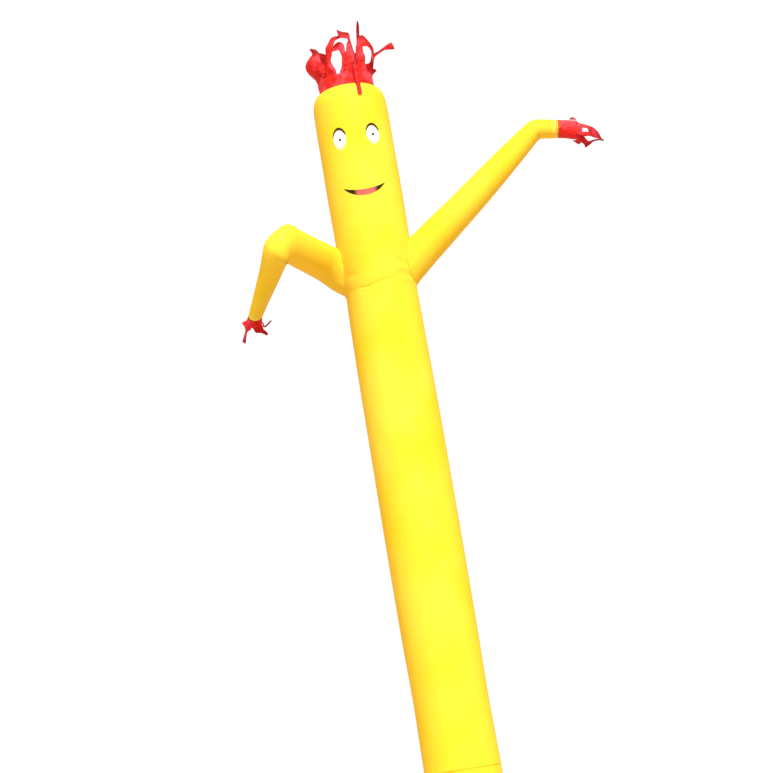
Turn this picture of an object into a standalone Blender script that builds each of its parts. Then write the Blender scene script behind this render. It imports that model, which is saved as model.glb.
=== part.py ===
"""Inflatable air dancer: an upright nylon tube with two sleeves, red hair and red fingers.

Metres, Z up. The tube's axis is the Z axis, the hem stands on z = 0 and the face looks along -Y.
"left" and "right" are the viewer's, seen from -Y. The lower leg and its hem are one turned
outline. Every other piece is an open sheet that Solidify gives its thickness. Pieces that are
sewn together end 0.3 mm apart, and all hang on one empty at the hem's centre.
"""
import math
from collections import namedtuple

import bmesh
import bpy
from mathutils import Vector

# Cloth and seams
CLOTH = 0.002
HEM_CLOTH = 0.003
HEM_HEIGHT = 0.045
SEAM_GAP = 0.0003

# Heights along the tube
LOWER_SEAM = 1.455
WAIST_SEAM = 4.425
HEAD_TOP = 5.706
COLLAR_TOP = 5.768
BAND_TOP = 5.783

# Steps round the tube, a sleeve, and between rings
TUBE_STEPS = 40
HAIR_STEPS = 48
SLEEVE_STEPS = 20
LEG_RINGS = 22
TORSO_RINGS = 14

# Outline of the blown-up tube: height and radius
Width = namedtuple("Width", "height radius")
TUBE = [
    Width(0.000, 0.2290),
    Width(0.500, 0.2305),
    Width(1.000, 0.2311),
    Width(1.455, 0.2304),
    Width(1.640, 0.2282),
    Width(1.880, 0.2256),
    Width(2.240, 0.2302),
    Width(2.730, 0.2318),
    Width(3.220, 0.2312),
    Width(3.720, 0.2292),
    Width(4.100, 0.2261),
    Width(4.355, 0.2224),
    Width(4.425, 0.2204),
    Width(4.500, 0.2232),
    Width(4.650, 0.2282),
    Width(4.870, 0.2311),
    Width(5.050, 0.2327),
    Width(5.300, 0.2319),
    Width(5.460, 0.2321),
    Width(5.560, 0.2306),
    Width(5.620, 0.2272),
    Width(5.660, 0.2165),
    Width(5.688, 0.2000),
    Width(5.706, 0.1770),
]

# The waist seam wanders: angle round the tube (0 is +X, -90 the front) and rise above WAIST_SEAM
Wander = namedtuple("Wander", "angle rise")
WAIST = [
    Wander(-180, -0.038),
    Wander(-165, -0.030),
    Wander(-150, -0.010),
    Wander(-135, -0.006),
    Wander(-110, -0.014),
    Wander(-90, -0.002),
    Wander(-72, 0.010),
    Wander(-52, 0.031),
    Wander(-28, 0.028),
    Wander(-12, 0.002),
    Wander(0, -0.014),
    Wander(30, -0.008),
    Wander(75, 0.002),
    Wander(120, -0.008),
    Wander(150, -0.026),
    Wander(180, -0.038),
]

# Red collar above the head: height and radius on the left and on the right
Collar = namedtuple("Collar", "height left right")
COLLAR = [
    Collar(5.7063, 0.1765, 0.1765),
    Collar(5.735, 0.1720, 0.1735),
    Collar(5.783, 0.1735, 0.1715),
]

# Sleeve sections: centre, width from edge to edge, depth across it, lean of the width from
# upright towards +X, and slant of the section's plane out of the depth direction, in degrees
Ring = namedtuple("Ring", "x y z width depth lean slant")
ARM_RIGHT = [
    Ring(0.120, 0.000, 4.489, 0.243, 0.236, -35, 0),
    Ring(0.204, 0.000, 4.553, 0.237, 0.232, -36, 0),
    Ring(0.304, 0.000, 4.631, 0.222, 0.222, -36, 0),
    Ring(0.437, 0.000, 4.733, 0.210, 0.210, -36, 0),
    Ring(0.572, 0.000, 4.836, 0.196, 0.196, -36, 0),
    Ring(0.705, 0.005, 4.941, 0.183, 0.183, -36, 0),
    Ring(0.839, 0.010, 5.049, 0.168, 0.168, -37, 0),
    Ring(0.971, 0.015, 5.156, 0.148, 0.148, -36, 0),
    Ring(1.092, 0.020, 5.253, 0.127, 0.130, -31, 0),
    Ring(1.118, 0.022, 5.267, 0.126, 0.132, -15, -3),
    Ring(1.146, 0.026, 5.270, 0.124, 0.128, -3, -6),
    Ring(1.199, 0.034, 5.263, 0.119, 0.122, 4, -9),
    Ring(1.261, 0.043, 5.255, 0.114, 0.114, 7, -10),
]
CUFF_RIGHT = [
    Ring(1.2613, 0.0431, 5.255, 0.1136, 0.1136, 7, -10),
    Ring(1.290, 0.049, 5.251, 0.112, 0.112, 8, -10),
    Ring(1.330, 0.057, 5.246, 0.115, 0.111, 9, -10),
    Ring(1.367, 0.066, 5.240, 0.114, 0.108, 10, -10),
]
ARM_LEFT = [
    Ring(-0.120, 0.020, 4.545, 0.262, 0.232, 16, 0),
    Ring(-0.205, 0.012, 4.575, 0.256, 0.230, 22, 4),
    Ring(-0.252, -0.012, 4.597, 0.240, 0.224, 31, 14),
    Ring(-0.300, -0.056, 4.625, 0.228, 0.213, 36, 28),
    Ring(-0.361, -0.150, 4.651, 0.224, 0.195, 36, 42),
    Ring(-0.425, -0.262, 4.674, 0.221, 0.170, 36, 46),
    Ring(-0.478, -0.362, 4.692, 0.220, 0.145, 29, 38),
    Ring(-0.509, -0.425, 4.701, 0.240, 0.135, 9, 20),
    Ring(-0.541, -0.452, 4.680, 0.217, 0.140, -7, 2),
    Ring(-0.578, -0.438, 4.656, 0.190, 0.160, -31, -18),
    Ring(-0.606, -0.375, 4.620, 0.155, 0.172, -55, -34),
    Ring(-0.645, -0.290, 4.569, 0.136, 0.170, -61, -42),
    Ring(-0.693, -0.200, 4.508, 0.118, 0.160, -61, -44),
    Ring(-0.742, -0.110, 4.446, 0.099, 0.150, -61, -44),
    Ring(-0.790, -0.025, 4.382, 0.081, 0.140, -61, -43),
]
CUFF_LEFT = [
    Ring(-0.7901, -0.0248, 4.3818, 0.0805, 0.139, -61, -43),
    Ring(-0.7945, -0.0165, 4.3742, 0.084, 0.1365, -61, -43),
    Ring(-0.799, -0.008, 4.3665, 0.088, 0.134, -61, -43),
    Ring(-0.8035, 0.0005, 4.3588, 0.092, 0.132, -61, -43),
]

# A strip leaves the band between two steps and passes through its sections: centre, width,
# and the turn (about Z, from +X) and tip (out of the level) of the width, in degrees
Cut = namedtuple("Cut", "x y z width turn tip")
Strip = namedtuple("Strip", "first last cuts")
HAIR = [
    # wide lobe that bellies out on the left
    Strip(0, 5, [
        Cut(-0.158, -0.057, 5.805, 0.119, -64, -8),
        Cut(-0.169, -0.066, 5.853, 0.177, -43, -21),
        Cut(-0.169, -0.071, 5.884, 0.180, -41, -21),
        Cut(-0.170, -0.073, 5.914, 0.150, -45, -23),
        Cut(-0.159, -0.072, 5.947, 0.102, -52, -27),
        Cut(-0.155, -0.077, 5.969, 0.079, -49, -24),
        Cut(-0.165, -0.079, 5.992, 0.058, -44, -19),
        Cut(-0.184, -0.071, 6.007, 0.015, -42, -12),
    ]),
    # arches over to the right
    Strip(6, 10, [
        Cut(-0.082, -0.148, 5.799, 0.081, -31, 0),
        Cut(-0.079, -0.151, 5.820, 0.070, -29, -7),
        Cut(-0.080, -0.151, 5.839, 0.058, -28, -18),
        Cut(-0.083, -0.149, 5.887, 0.038, -30, -19),
        Cut(-0.075, -0.148, 5.920, 0.045, -23, -27),
        Cut(-0.064, -0.144, 5.964, 0.051, -15, -20),
        Cut(-0.049, -0.136, 5.995, 0.040, -18, -17),
        Cut(-0.030, -0.126, 6.023, 0.038, -14, -33),
        Cut(-0.006, -0.114, 6.035, 0.028, -11, -41),
        Cut(0.020, -0.106, 6.036, 0.013, 0, -79),
        Cut(0.052, -0.104, 6.027, 0.011, 180, -66),
    ]),
    # curls back to the left over the large gap
    Strip(11, 12, [
        Cut(-0.008, -0.178, 5.793, 0.028, -4, 0),
        Cut(0.004, -0.180, 5.814, 0.027, 0, 0),
        Cut(0.014, -0.180, 5.860, 0.026, 0, -10),
        Cut(0.017, -0.178, 5.884, 0.027, 0, 10),
        Cut(0.015, -0.174, 5.916, 0.035, 0, 32),
        Cut(0.012, -0.168, 5.941, 0.048, 0, 45),
        Cut(0.003, -0.160, 5.959, 0.053, 0, 54),
        Cut(-0.010, -0.148, 5.966, 0.056, 0, 68),
        Cut(-0.026, -0.138, 5.965, 0.049, 0, 76),
        Cut(-0.042, -0.130, 5.959, 0.030, 0, 76),
    ]),
    # narrow neck and a pointed flag
    Strip(13, 14, [
        Cut(0.034, -0.163, 5.791, 0.058, 12, 0),
        Cut(0.034, -0.163, 5.806, 0.053, 12, 0),
        Cut(0.052, -0.159, 5.862, 0.058, 10, -3),
        Cut(0.058, -0.154, 5.910, 0.057, 8, -4),
        Cut(0.059, -0.151, 5.931, 0.044, 8, 0),
        Cut(0.062, -0.147, 5.967, 0.032, 11, -5),
        Cut(0.066, -0.144, 5.994, 0.018, 13, 2),
        Cut(0.062, -0.140, 6.013, 0.024, 10, 7),
        Cut(0.040, -0.136, 6.029, 0.068, 3, 1),
        Cut(0.037, -0.135, 6.044, 0.070, 4, -9),
        Cut(0.033, -0.133, 6.065, 0.076, 5, -24),
    ]),
    # folds over and hangs down in front of the head
    Strip(15, 16, [
        Cut(0.075, -0.164, 5.802, 0.024, 22, 0),
        Cut(0.075, -0.174, 5.809, 0.026, 12, 0),
        Cut(0.075, -0.185, 5.800, 0.027, 4, 0),
        Cut(0.075, -0.182, 5.765, 0.027, 4, 0),
        Cut(0.075, -0.185, 5.715, 0.027, 4, 0),
        Cut(0.076, -0.205, 5.668, 0.027, 6, 0),
        Cut(0.077, -0.224, 5.612, 0.026, 7, 0),
    ]),
    # arches over the gap on the right
    Strip(17, 20, [
        Cut(0.120, -0.114, 5.791, 0.086, 43, 0),
        Cut(0.118, -0.117, 5.805, 0.086, 42, -1),
        Cut(0.113, -0.125, 5.840, 0.072, 36, 0),
        Cut(0.118, -0.128, 5.887, 0.070, 35, 3),
        Cut(0.116, -0.128, 5.912, 0.060, 37, 6),
        Cut(0.125, -0.126, 5.953, 0.048, 38, -19),
        Cut(0.136, -0.123, 5.974, 0.067, 25, -50),
        Cut(0.157, -0.118, 5.983, 0.079, 27, -71),
        Cut(0.175, -0.113, 5.968, 0.068, 28, -79),
        Cut(0.189, -0.108, 5.944, 0.038, 157, -78),
        Cut(0.198, -0.104, 5.920, 0.030, 180, -59),
        Cut(0.196, -0.100, 5.890, 0.026, 180, -36),
        Cut(0.189, -0.097, 5.858, 0.025, 180, -6),
    ]),
    # thin streamer with a flared end
    Strip(21, 24, [
        Cut(0.163, -0.036, 5.791, 0.073, 70, 0),
        Cut(0.158, -0.038, 5.806, 0.073, 56, -4),
        Cut(0.164, -0.046, 5.833, 0.068, 50, -23),
        Cut(0.178, -0.057, 5.842, 0.040, 53, -20),
        Cut(0.189, -0.061, 5.866, 0.026, 49, -26),
        Cut(0.197, -0.060, 5.887, 0.024, 42, -42),
        Cut(0.211, -0.062, 5.899, 0.021, 47, -75),
        Cut(0.234, -0.061, 5.910, 0.016, 36, -78),
        Cut(0.274, -0.062, 5.929, 0.021, 0, -79),
        Cut(0.301, -0.062, 5.935, 0.037, 180, -89),
        Cut(0.333, -0.062, 5.939, 0.049, 0, -75),
    ]),
    # short end that folds out on the right
    Strip(25, 26, [
        Cut(0.173, 0.031, 5.798, 0.022, 95, 0),
        Cut(0.185, 0.022, 5.816, 0.023, 63, -10),
        Cut(0.188, 0.016, 5.823, 0.037, 27, -14),
        Cut(0.190, 0.012, 5.834, 0.027, 28, -15),
    ]),
    # falls back behind
    Strip(27, 29, [
        Cut(0.156, 0.096, 5.812, 0.044, 124, 0),
        Cut(0.160, 0.128, 5.824, 0.042, 130, 0),
        Cut(0.158, 0.162, 5.806, 0.038, 134, 0),
        Cut(0.156, 0.182, 5.762, 0.030, 138, 0),
    ]),
    # tallest strip, thin and straight
    Strip(30, 31, [
        Cut(0.112, 0.131, 5.850, 0.022, 142, 0),
        Cut(0.111, 0.130, 5.940, 0.021, 152, 0),
        Cut(0.116, 0.128, 6.020, 0.020, 166, 0),
        Cut(0.126, 0.126, 6.100, 0.020, 175, 0),
        Cut(0.135, 0.124, 6.162, 0.019, 180, 0),
        Cut(0.140, 0.122, 6.202, 0.009, 180, 0),
    ]),
    # stands up behind the flag
    Strip(32, 34, [
        Cut(0.049, 0.156, 5.833, 0.058, 164, 10),
        Cut(0.056, 0.152, 5.913, 0.065, 169, 7),
        Cut(0.060, 0.146, 5.965, 0.069, 173, 8),
        Cut(0.064, 0.139, 5.991, 0.059, 174, 7),
        Cut(0.075, 0.136, 6.001, 0.037, 174, 6),
    ]),
    # falls back behind
    Strip(35, 39, [
        Cut(-0.024, 0.186, 5.812, 0.084, 187, 0),
        Cut(-0.030, 0.212, 5.818, 0.078, 187, 0),
        Cut(-0.036, 0.238, 5.798, 0.068, 187, 0),
        Cut(-0.040, 0.252, 5.752, 0.052, 187, 0),
    ]),
    # stands up behind the left lobe
    Strip(41, 45, [
        Cut(-0.139, 0.100, 5.866, 0.079, -135, 6),
        Cut(-0.131, 0.094, 5.933, 0.071, -142, 0),
        Cut(-0.123, 0.086, 5.977, 0.064, -146, 2),
        Cut(-0.115, 0.079, 6.012, 0.054, -146, 12),
    ]),
]
FINGERS_RIGHT = [
    # end folded back over the cuff
    Strip(0, 1, [
        Cut(1.388, 0.078, 5.304, 0.022, 84, 26),
        Cut(1.381, 0.072, 5.307, 0.022, 83, 42),
        Cut(1.367, 0.066, 5.313, 0.025, 83, 62),
        Cut(1.357, 0.063, 5.313, 0.023, 61, 60),
        Cut(1.345, 0.061, 5.309, 0.009, 102, 54),
    ]),
    # folds back behind
    Strip(3, 5, [
        Cut(1.404, 0.126, 5.250, 0.034, 30, -78),
        Cut(1.398, 0.144, 5.246, 0.030, 20, -80),
        Cut(1.368, 0.150, 5.240, 0.020, 10, -80),
    ]),
    # long low streamer
    Strip(6, 8, [
        Cut(1.396, 0.108, 5.186, 0.027, -135, -65),
        Cut(1.411, 0.104, 5.164, 0.035, -157, -73),
        Cut(1.422, 0.100, 5.152, 0.042, 180, -74),
        Cut(1.437, 0.096, 5.145, 0.029, 180, -86),
        Cut(1.470, 0.093, 5.156, 0.014, 180, -75),
        Cut(1.512, 0.090, 5.156, 0.011, 180, -80),
        Cut(1.533, 0.088, 5.145, 0.013, 180, -65),
    ]),
    # flap under the cuff
    Strip(9, 10, [
        Cut(1.370, 0.081, 5.174, 0.025, -119, -10),
        Cut(1.369, 0.075, 5.165, 0.064, -163, 16),
        Cut(1.370, 0.075, 5.158, 0.050, -167, 17),
        Cut(1.372, 0.074, 5.150, 0.023, -164, 13),
        Cut(1.372, 0.074, 5.144, 0.005, -157, 10),
    ]),
    # bends down to a dark tip
    Strip(11, 13, [
        Cut(1.374, 0.032, 5.175, 0.032, -66, 57),
        Cut(1.401, 0.028, 5.159, 0.036, -28, 44),
        Cut(1.412, 0.026, 5.144, 0.028, -28, 52),
        Cut(1.418, 0.027, 5.128, 0.034, -4, 36),
        Cut(1.411, 0.028, 5.104, 0.015, 0, -3),
    ]),
    # bridges the two gaps
    Strip(14, 16, [
        Cut(1.379, 0.015, 5.216, 0.060, 12, 81),
        Cut(1.399, 0.012, 5.203, 0.057, 14, 73),
        Cut(1.408, 0.011, 5.187, 0.034, 164, 78),
        Cut(1.436, 0.012, 5.183, 0.030, 180, 85),
        Cut(1.453, 0.018, 5.177, 0.027, 180, 81),
        Cut(1.469, 0.024, 5.167, 0.019, 180, 81),
    ]),
    # top strip that arches down to the right
    Strip(17, 19, [
        Cut(1.388, 0.040, 5.268, 0.030, 65, 42),
        Cut(1.404, 0.038, 5.253, 0.032, 52, 51),
        Cut(1.421, 0.038, 5.244, 0.033, 27, 38),
        Cut(1.451, 0.038, 5.231, 0.027, 21, 35),
        Cut(1.462, 0.040, 5.212, 0.046, 14, 42),
        Cut(1.478, 0.044, 5.189, 0.056, 15, 57),
        Cut(1.498, 0.048, 5.171, 0.037, 11, 55),
        Cut(1.512, 0.052, 5.155, 0.014, 0, 56),
        Cut(1.521, 0.056, 5.143, 0.006, 0, 60),
    ]),
]
FINGERS_LEFT = [
    # short end behind on the left
    Strip(1, 3, [
        Cut(-0.834, 0.042, 4.378, 0.034, 40, 14),
        Cut(-0.841, 0.056, 4.362, 0.026, 40, 10),
        Cut(-0.848, 0.068, 4.347, 0.012, 40, 8),
    ]),
    # short end behind
    Strip(4, 6, [
        Cut(-0.794, 0.068, 4.378, 0.044, 0, -30),
        Cut(-0.800, 0.080, 4.364, 0.036, 0, -30),
        Cut(-0.806, 0.090, 4.350, 0.020, 0, -28),
    ]),
    # thin strip that stands out on the right
    Strip(7, 8, [
        Cut(-0.753, 0.039, 4.343, 0.011, -139, -32),
        Cut(-0.752, 0.036, 4.328, 0.012, -152, -44),
        Cut(-0.744, 0.033, 4.321, 0.012, -130, -78),
        Cut(-0.719, 0.030, 4.337, 0.010, 0, -65),
        Cut(-0.699, 0.026, 4.352, 0.009, 0, -45),
    ]),
    # crumpled flap with a dark tip on the right
    Strip(9, 14, [
        Cut(-0.785, -0.012, 4.311, 0.077, -141, -9),
        Cut(-0.779, -0.012, 4.291, 0.067, -140, -23),
        Cut(-0.761, -0.008, 4.284, 0.039, -134, -31),
        Cut(-0.745, -0.006, 4.272, 0.024, -139, -39),
        Cut(-0.735, -0.006, 4.260, 0.018, 180, -59),
    ]),
    # wide flap on the left that narrows to a long strip
    Strip(15, 20, [
        Cut(-0.848, -0.018, 4.336, 0.084, 138, 50),
        Cut(-0.857, -0.019, 4.329, 0.080, 146, 48),
        Cut(-0.857, -0.021, 4.316, 0.046, 144, 49),
        Cut(-0.860, -0.022, 4.301, 0.027, 143, 61),
        Cut(-0.868, -0.022, 4.278, 0.017, 162, 39),
        Cut(-0.880, -0.022, 4.246, 0.021, 180, 15),
        Cut(-0.885, -0.022, 4.230, 0.024, 180, 40),
    ]),
]

YELLOW = (0.92, 0.74, 0.03, 1.0)
RED = (0.80, 0.03, 0.025, 1.0)


def clear_scene():
    """Start from an empty file."""
    for thing in list(bpy.data.objects):
        bpy.data.objects.remove(thing, do_unlink=True)
    for mesh in list(bpy.data.meshes):
        bpy.data.meshes.remove(mesh)


def new_collection(name):
    """Collection linked to the scene."""
    group = bpy.data.collections.new(name)
    bpy.context.scene.collection.children.link(group)
    return group


def cloth_material(name, colour):
    """Plain nylon of one colour."""
    material = bpy.data.materials.new(name)
    material.use_nodes = True
    shader = material.node_tree.nodes["Principled BSDF"]
    shader.inputs["Base Color"].default_value = colour
    shader.inputs["Roughness"].default_value = 0.55
    shader.inputs["Metallic"].default_value = 0.0
    material.diffuse_color = colour
    return material


def read_table(rows, key, value, at):
    """Smooth value of a table's column at a place between its rows."""
    places = [getattr(row, key) for row in rows]
    values = [getattr(row, value) for row in rows]
    if at <= places[0]:
        return values[0]
    if at >= places[-1]:
        return values[-1]
    i = 0
    while places[i + 1] < at:
        i += 1
    slopes = []
    for k in (i, i + 1):
        low = max(k - 1, 0)
        high = min(k + 1, len(rows) - 1)
        slopes.append((values[high] - values[low]) / (places[high] - places[low]))
    span = places[i + 1] - places[i]
    t = (at - places[i]) / span
    return (
        values[i] * (1 + 2 * t) * (1 - t) ** 2
        + slopes[0] * span * t * (1 - t) ** 2
        + values[i + 1] * t * t * (3 - 2 * t)
        + slopes[1] * span * t * t * (t - 1)
    )


def waist_rise(angle):
    """How far the waist seam lies above or below its usual height."""
    return read_table(WAIST, "angle", "rise", angle)


def puckers(angle, height):
    """Shallow folds that run away from the waist seam."""
    turn = math.radians(angle)
    fade = math.exp(-(((height - WAIST_SEAM) / 0.07) ** 2))
    return -0.0016 * fade * (0.5 + 0.5 * math.sin(9 * turn + 1.2 * math.sin(2 * turn)))


def tube_point(angle, height, out=0.0):
    """Point on the tube's outside, or that far out from it."""
    near = max(0.0, 1 - abs(height - WAIST_SEAM) / 0.35)
    rise = waist_rise(angle) * near * near * (3 - 2 * near)
    radius = read_table(TUBE, "height", "radius", height) + puckers(angle, height) + out
    turn = math.radians(angle)
    return Vector((radius * math.cos(turn), radius * math.sin(turn), height + rise))


def tube_rings(low, high, count, out=0.0):
    """Rings from one height to another, closer together where the outline bends."""
    heights = [low + (high - low) * i / count for i in range(count + 1)]
    for row in TUBE:
        inside = low + 0.01 < row.height < high - 0.01
        if inside and row.height > 5.5:
            heights.append(row.height)
    heights = sorted(set(heights))
    kept = [heights[0]]
    for height in heights[1:]:
        if height - kept[-1] > 0.012 or height == heights[-1]:
            kept.append(height)
    angles = [-180 + 360 * i / TUBE_STEPS for i in range(TUBE_STEPS)]
    return [[tube_point(angle, height, out) for angle in angles] for height in kept]


def sheet_object(name, rings, group, material, at=(0.0, 0.0, 0.0)):
    """Open tube of cloth through rings of points."""
    bm = bmesh.new()
    rows = [[bm.verts.new(point) for point in ring] for ring in rings]
    for low, high in zip(rows, rows[1:]):
        for i in range(len(low)):
            j = (i + 1) % len(low)
            bm.faces.new((low[i], low[j], high[j], high[i]))
    return finish_mesh(name, bm, group, material, at)


def plug_object(name, rings, group):
    """Closed solid through rings of points, for cutting."""
    bm = bmesh.new()
    rows = [[bm.verts.new(point) for point in ring] for ring in rings]
    for low, high in zip(rows, rows[1:]):
        for i in range(len(low)):
            j = (i + 1) % len(low)
            bm.faces.new((low[i], low[j], high[j], high[i]))
    bm.faces.new(list(reversed(rows[0])))
    bm.faces.new(rows[-1])
    bmesh.ops.recalc_face_normals(bm, faces=bm.faces)
    cutter = finish_mesh(name, bm, group, None)
    cutter.hide_render = True
    cutter.display_type = "WIRE"
    return cutter


def finish_mesh(name, bm, group, material, at=(0.0, 0.0, 0.0)):
    """Object with its own origin at a point of the frame."""
    bmesh.ops.translate(bm, verts=bm.verts, vec=-Vector(at))
    mesh = bpy.data.meshes.new(name)
    bm.to_mesh(mesh)
    bm.free()
    mesh.shade_smooth()
    thing = bpy.data.objects.new(name, mesh)
    thing.location = at
    group.objects.link(thing)
    if material:
        mesh.materials.append(material)
    return thing


def thicken(thing, thickness=CLOTH):
    """Give the sheet its thickness on the inside."""
    wall = thing.modifiers.new("Cloth", "SOLIDIFY")
    wall.thickness = thickness
    wall.offset = -1.0
    wall.use_even_offset = True
    wall.use_rim = True


def cut_away(thing, cutter):
    """Take the cutter's volume out of a piece."""
    cut = thing.modifiers.new("Cut", "BOOLEAN")
    cut.operation = "DIFFERENCE"
    cut.solver = "EXACT"
    cut.object = cutter


def ring_axes(ring):
    """Unit vectors along the section's width and along its depth."""
    lean = math.radians(ring.lean)
    slant = math.radians(ring.slant)
    wide = Vector((math.sin(lean), 0.0, math.cos(lean)))
    back = Vector((0.0, 1.0, 0.0))
    deep = back * math.cos(slant) + wide.cross(back) * math.sin(slant)
    return wide, deep


def ring_points(ring, shrink=0.0, steps=SLEEVE_STEPS, outward=1):
    """Oval section, its first point at the upper edge."""
    wide, deep = ring_axes(ring)
    centre = Vector((ring.x, ring.y, ring.z))
    points = []
    for i in range(steps):
        turn = outward * 2 * math.pi * i / steps
        points.append(
            centre
            + wide * (ring.width / 2 - shrink) * math.cos(turn)
            + deep * (ring.depth / 2 - shrink) * math.sin(turn)
        )
    return points


def make_lower_leg(group, material):
    """Turned tube: its outline with the folded hem, spun by Screw."""
    heights = [LOWER_SEAM - SEAM_GAP, 1.25, 1.0, 0.75, 0.5, 0.25, HEM_HEIGHT + 0.008, HEM_HEIGHT, 0.0]
    outside = [(read_table(TUBE, "height", "radius", height), height) for height in heights]
    inside = []
    for radius, height in reversed(outside):
        wall = HEM_CLOTH if height <= HEM_HEIGHT else CLOTH
        inside.append((radius - wall, height))
    bm = bmesh.new()
    points = [bm.verts.new((radius, 0.0, height)) for radius, height in outside + inside]
    for a, b in zip(points, points[1:] + points[:1]):
        bm.edges.new((a, b))
    leg = finish_mesh("leg_lower", bm, group, material)
    spin = leg.modifiers.new("Turn", "SCREW")
    spin.angle = math.radians(360)
    spin.steps = TUBE_STEPS
    spin.render_steps = TUBE_STEPS
    spin.use_merge_vertices = True
    spin.merge_threshold = 0.0001
    spin.use_normal_calculate = True
    return leg


def make_upper_leg(group, material):
    """Long panel from the lower seam to the waist seam."""
    rings = tube_rings(LOWER_SEAM, WAIST_SEAM - SEAM_GAP, LEG_RINGS)
    leg = sheet_object("leg_upper", rings, group, material, (0.0, 0.0, LOWER_SEAM))
    thicken(leg)
    return leg


def make_torso(group, material, cutters):
    """Chest and head in one panel, open at the top and at both armholes."""
    rings = tube_rings(WAIST_SEAM, HEAD_TOP, TORSO_RINGS)
    torso = sheet_object("torso_head", rings, group, material, (0.0, 0.0, WAIST_SEAM))
    thicken(torso)
    for name, rings in (("armhole_right", ARM_RIGHT[:4]), ("armhole_left", ARM_LEFT[:4])):
        plug = plug_object(name, [ring_points(ring, CLOTH) for ring in rings], cutters)
        cut_away(torso, plug)
    return torso


def make_arm(name, table, group, material, body):
    """Sleeve that ends on the tube's wall."""
    rings = [ring_points(ring) for ring in table]
    if table[-1].x > table[0].x:
        rings = [list(reversed(ring)) for ring in rings]
    arm = sheet_object(name, rings, group, material, table[0][:3])
    thicken(arm)
    cut_away(arm, body)
    return arm


def make_cuff(name, table, group, material):
    """Red ring at the end of a sleeve."""
    rings = [ring_points(ring) for ring in table]
    if table[-1].x > table[0].x:
        rings = [list(reversed(ring)) for ring in rings]
    cuff = sheet_object(name, rings, group, material, table[0][:3])
    thicken(cuff)
    return cuff


def collar_point(angle, height):
    """Point on the collar's outside, which spreads to the left near its top."""
    turn = math.radians(angle)
    share = 0.5 - 0.5 * math.cos(turn)
    left = read_table(COLLAR, "height", "left", height)
    right = read_table(COLLAR, "height", "right", height)
    radius = right + (left - right) * share ** 2
    rise = max(0.0, (height - HEAD_TOP) / (BAND_TOP - HEAD_TOP))
    radius += 0.003 * rise * math.sin(7 * turn + 0.6)
    return Vector((radius * math.cos(turn), radius * math.sin(turn), height))


def make_collar(group, material):
    """Red ring between the head and the hair."""
    heights = [HEAD_TOP + SEAM_GAP, 5.725, 5.746, COLLAR_TOP]
    angles = [-180 + 360 * i / HAIR_STEPS for i in range(HAIR_STEPS)]
    rings = [[collar_point(angle, height) for angle in angles] for height in heights]
    collar = sheet_object("hair_collar", rings, group, material, (0.0, 0.0, HEAD_TOP))
    thicken(collar)
    return collar


def cut_points(cut, columns):
    """Points across a strip, from its first edge to its last."""
    turn = math.radians(cut.turn)
    tip = math.radians(cut.tip)
    across = Vector((math.cos(turn) * math.cos(tip), math.sin(turn) * math.cos(tip), math.sin(tip)))
    centre = Vector((cut.x, cut.y, cut.z))
    return [centre + across * cut.width * (i / (columns - 1) - 0.5) for i in range(columns)]


def make_fringe(name, low_ring, high_ring, strips, group, material, flip=False):
    """Narrow band with strips that go on from its far edge, as one cut sheet."""
    bm = bmesh.new()
    low = [bm.verts.new(point) for point in low_ring]
    high = [bm.verts.new(point) for point in high_ring]
    count = len(low)
    for i in range(count):
        j = (i + 1) % count
        bm.faces.new((low[i], low[j], high[j], high[i]))
    for strip in strips:
        row = [high[i % count] for i in range(strip.first, strip.last + 1)]
        for cut in strip.cuts:
            above = [bm.verts.new(point) for point in cut_points(cut, len(row))]
            for i in range(len(row) - 1):
                bm.faces.new((row[i], row[i + 1], above[i + 1], above[i]))
            row = above
    if flip:
        bmesh.ops.reverse_faces(bm, faces=bm.faces)
    centre = sum(low_ring, Vector()) / count
    fringe = finish_mesh(name, bm, group, material, centre)
    thicken(fringe)
    return fringe


def beyond(table, distance):
    """Section that carries a sleeve straight on past its last ring."""
    before, last = table[-2], table[-1]
    run = Vector((last.x - before.x, last.y - before.y, last.z - before.z)).length
    share = 1 + distance / run
    values = [a + (b - a) * share for a, b in zip(before, last)]
    return Ring(*values)


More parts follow.
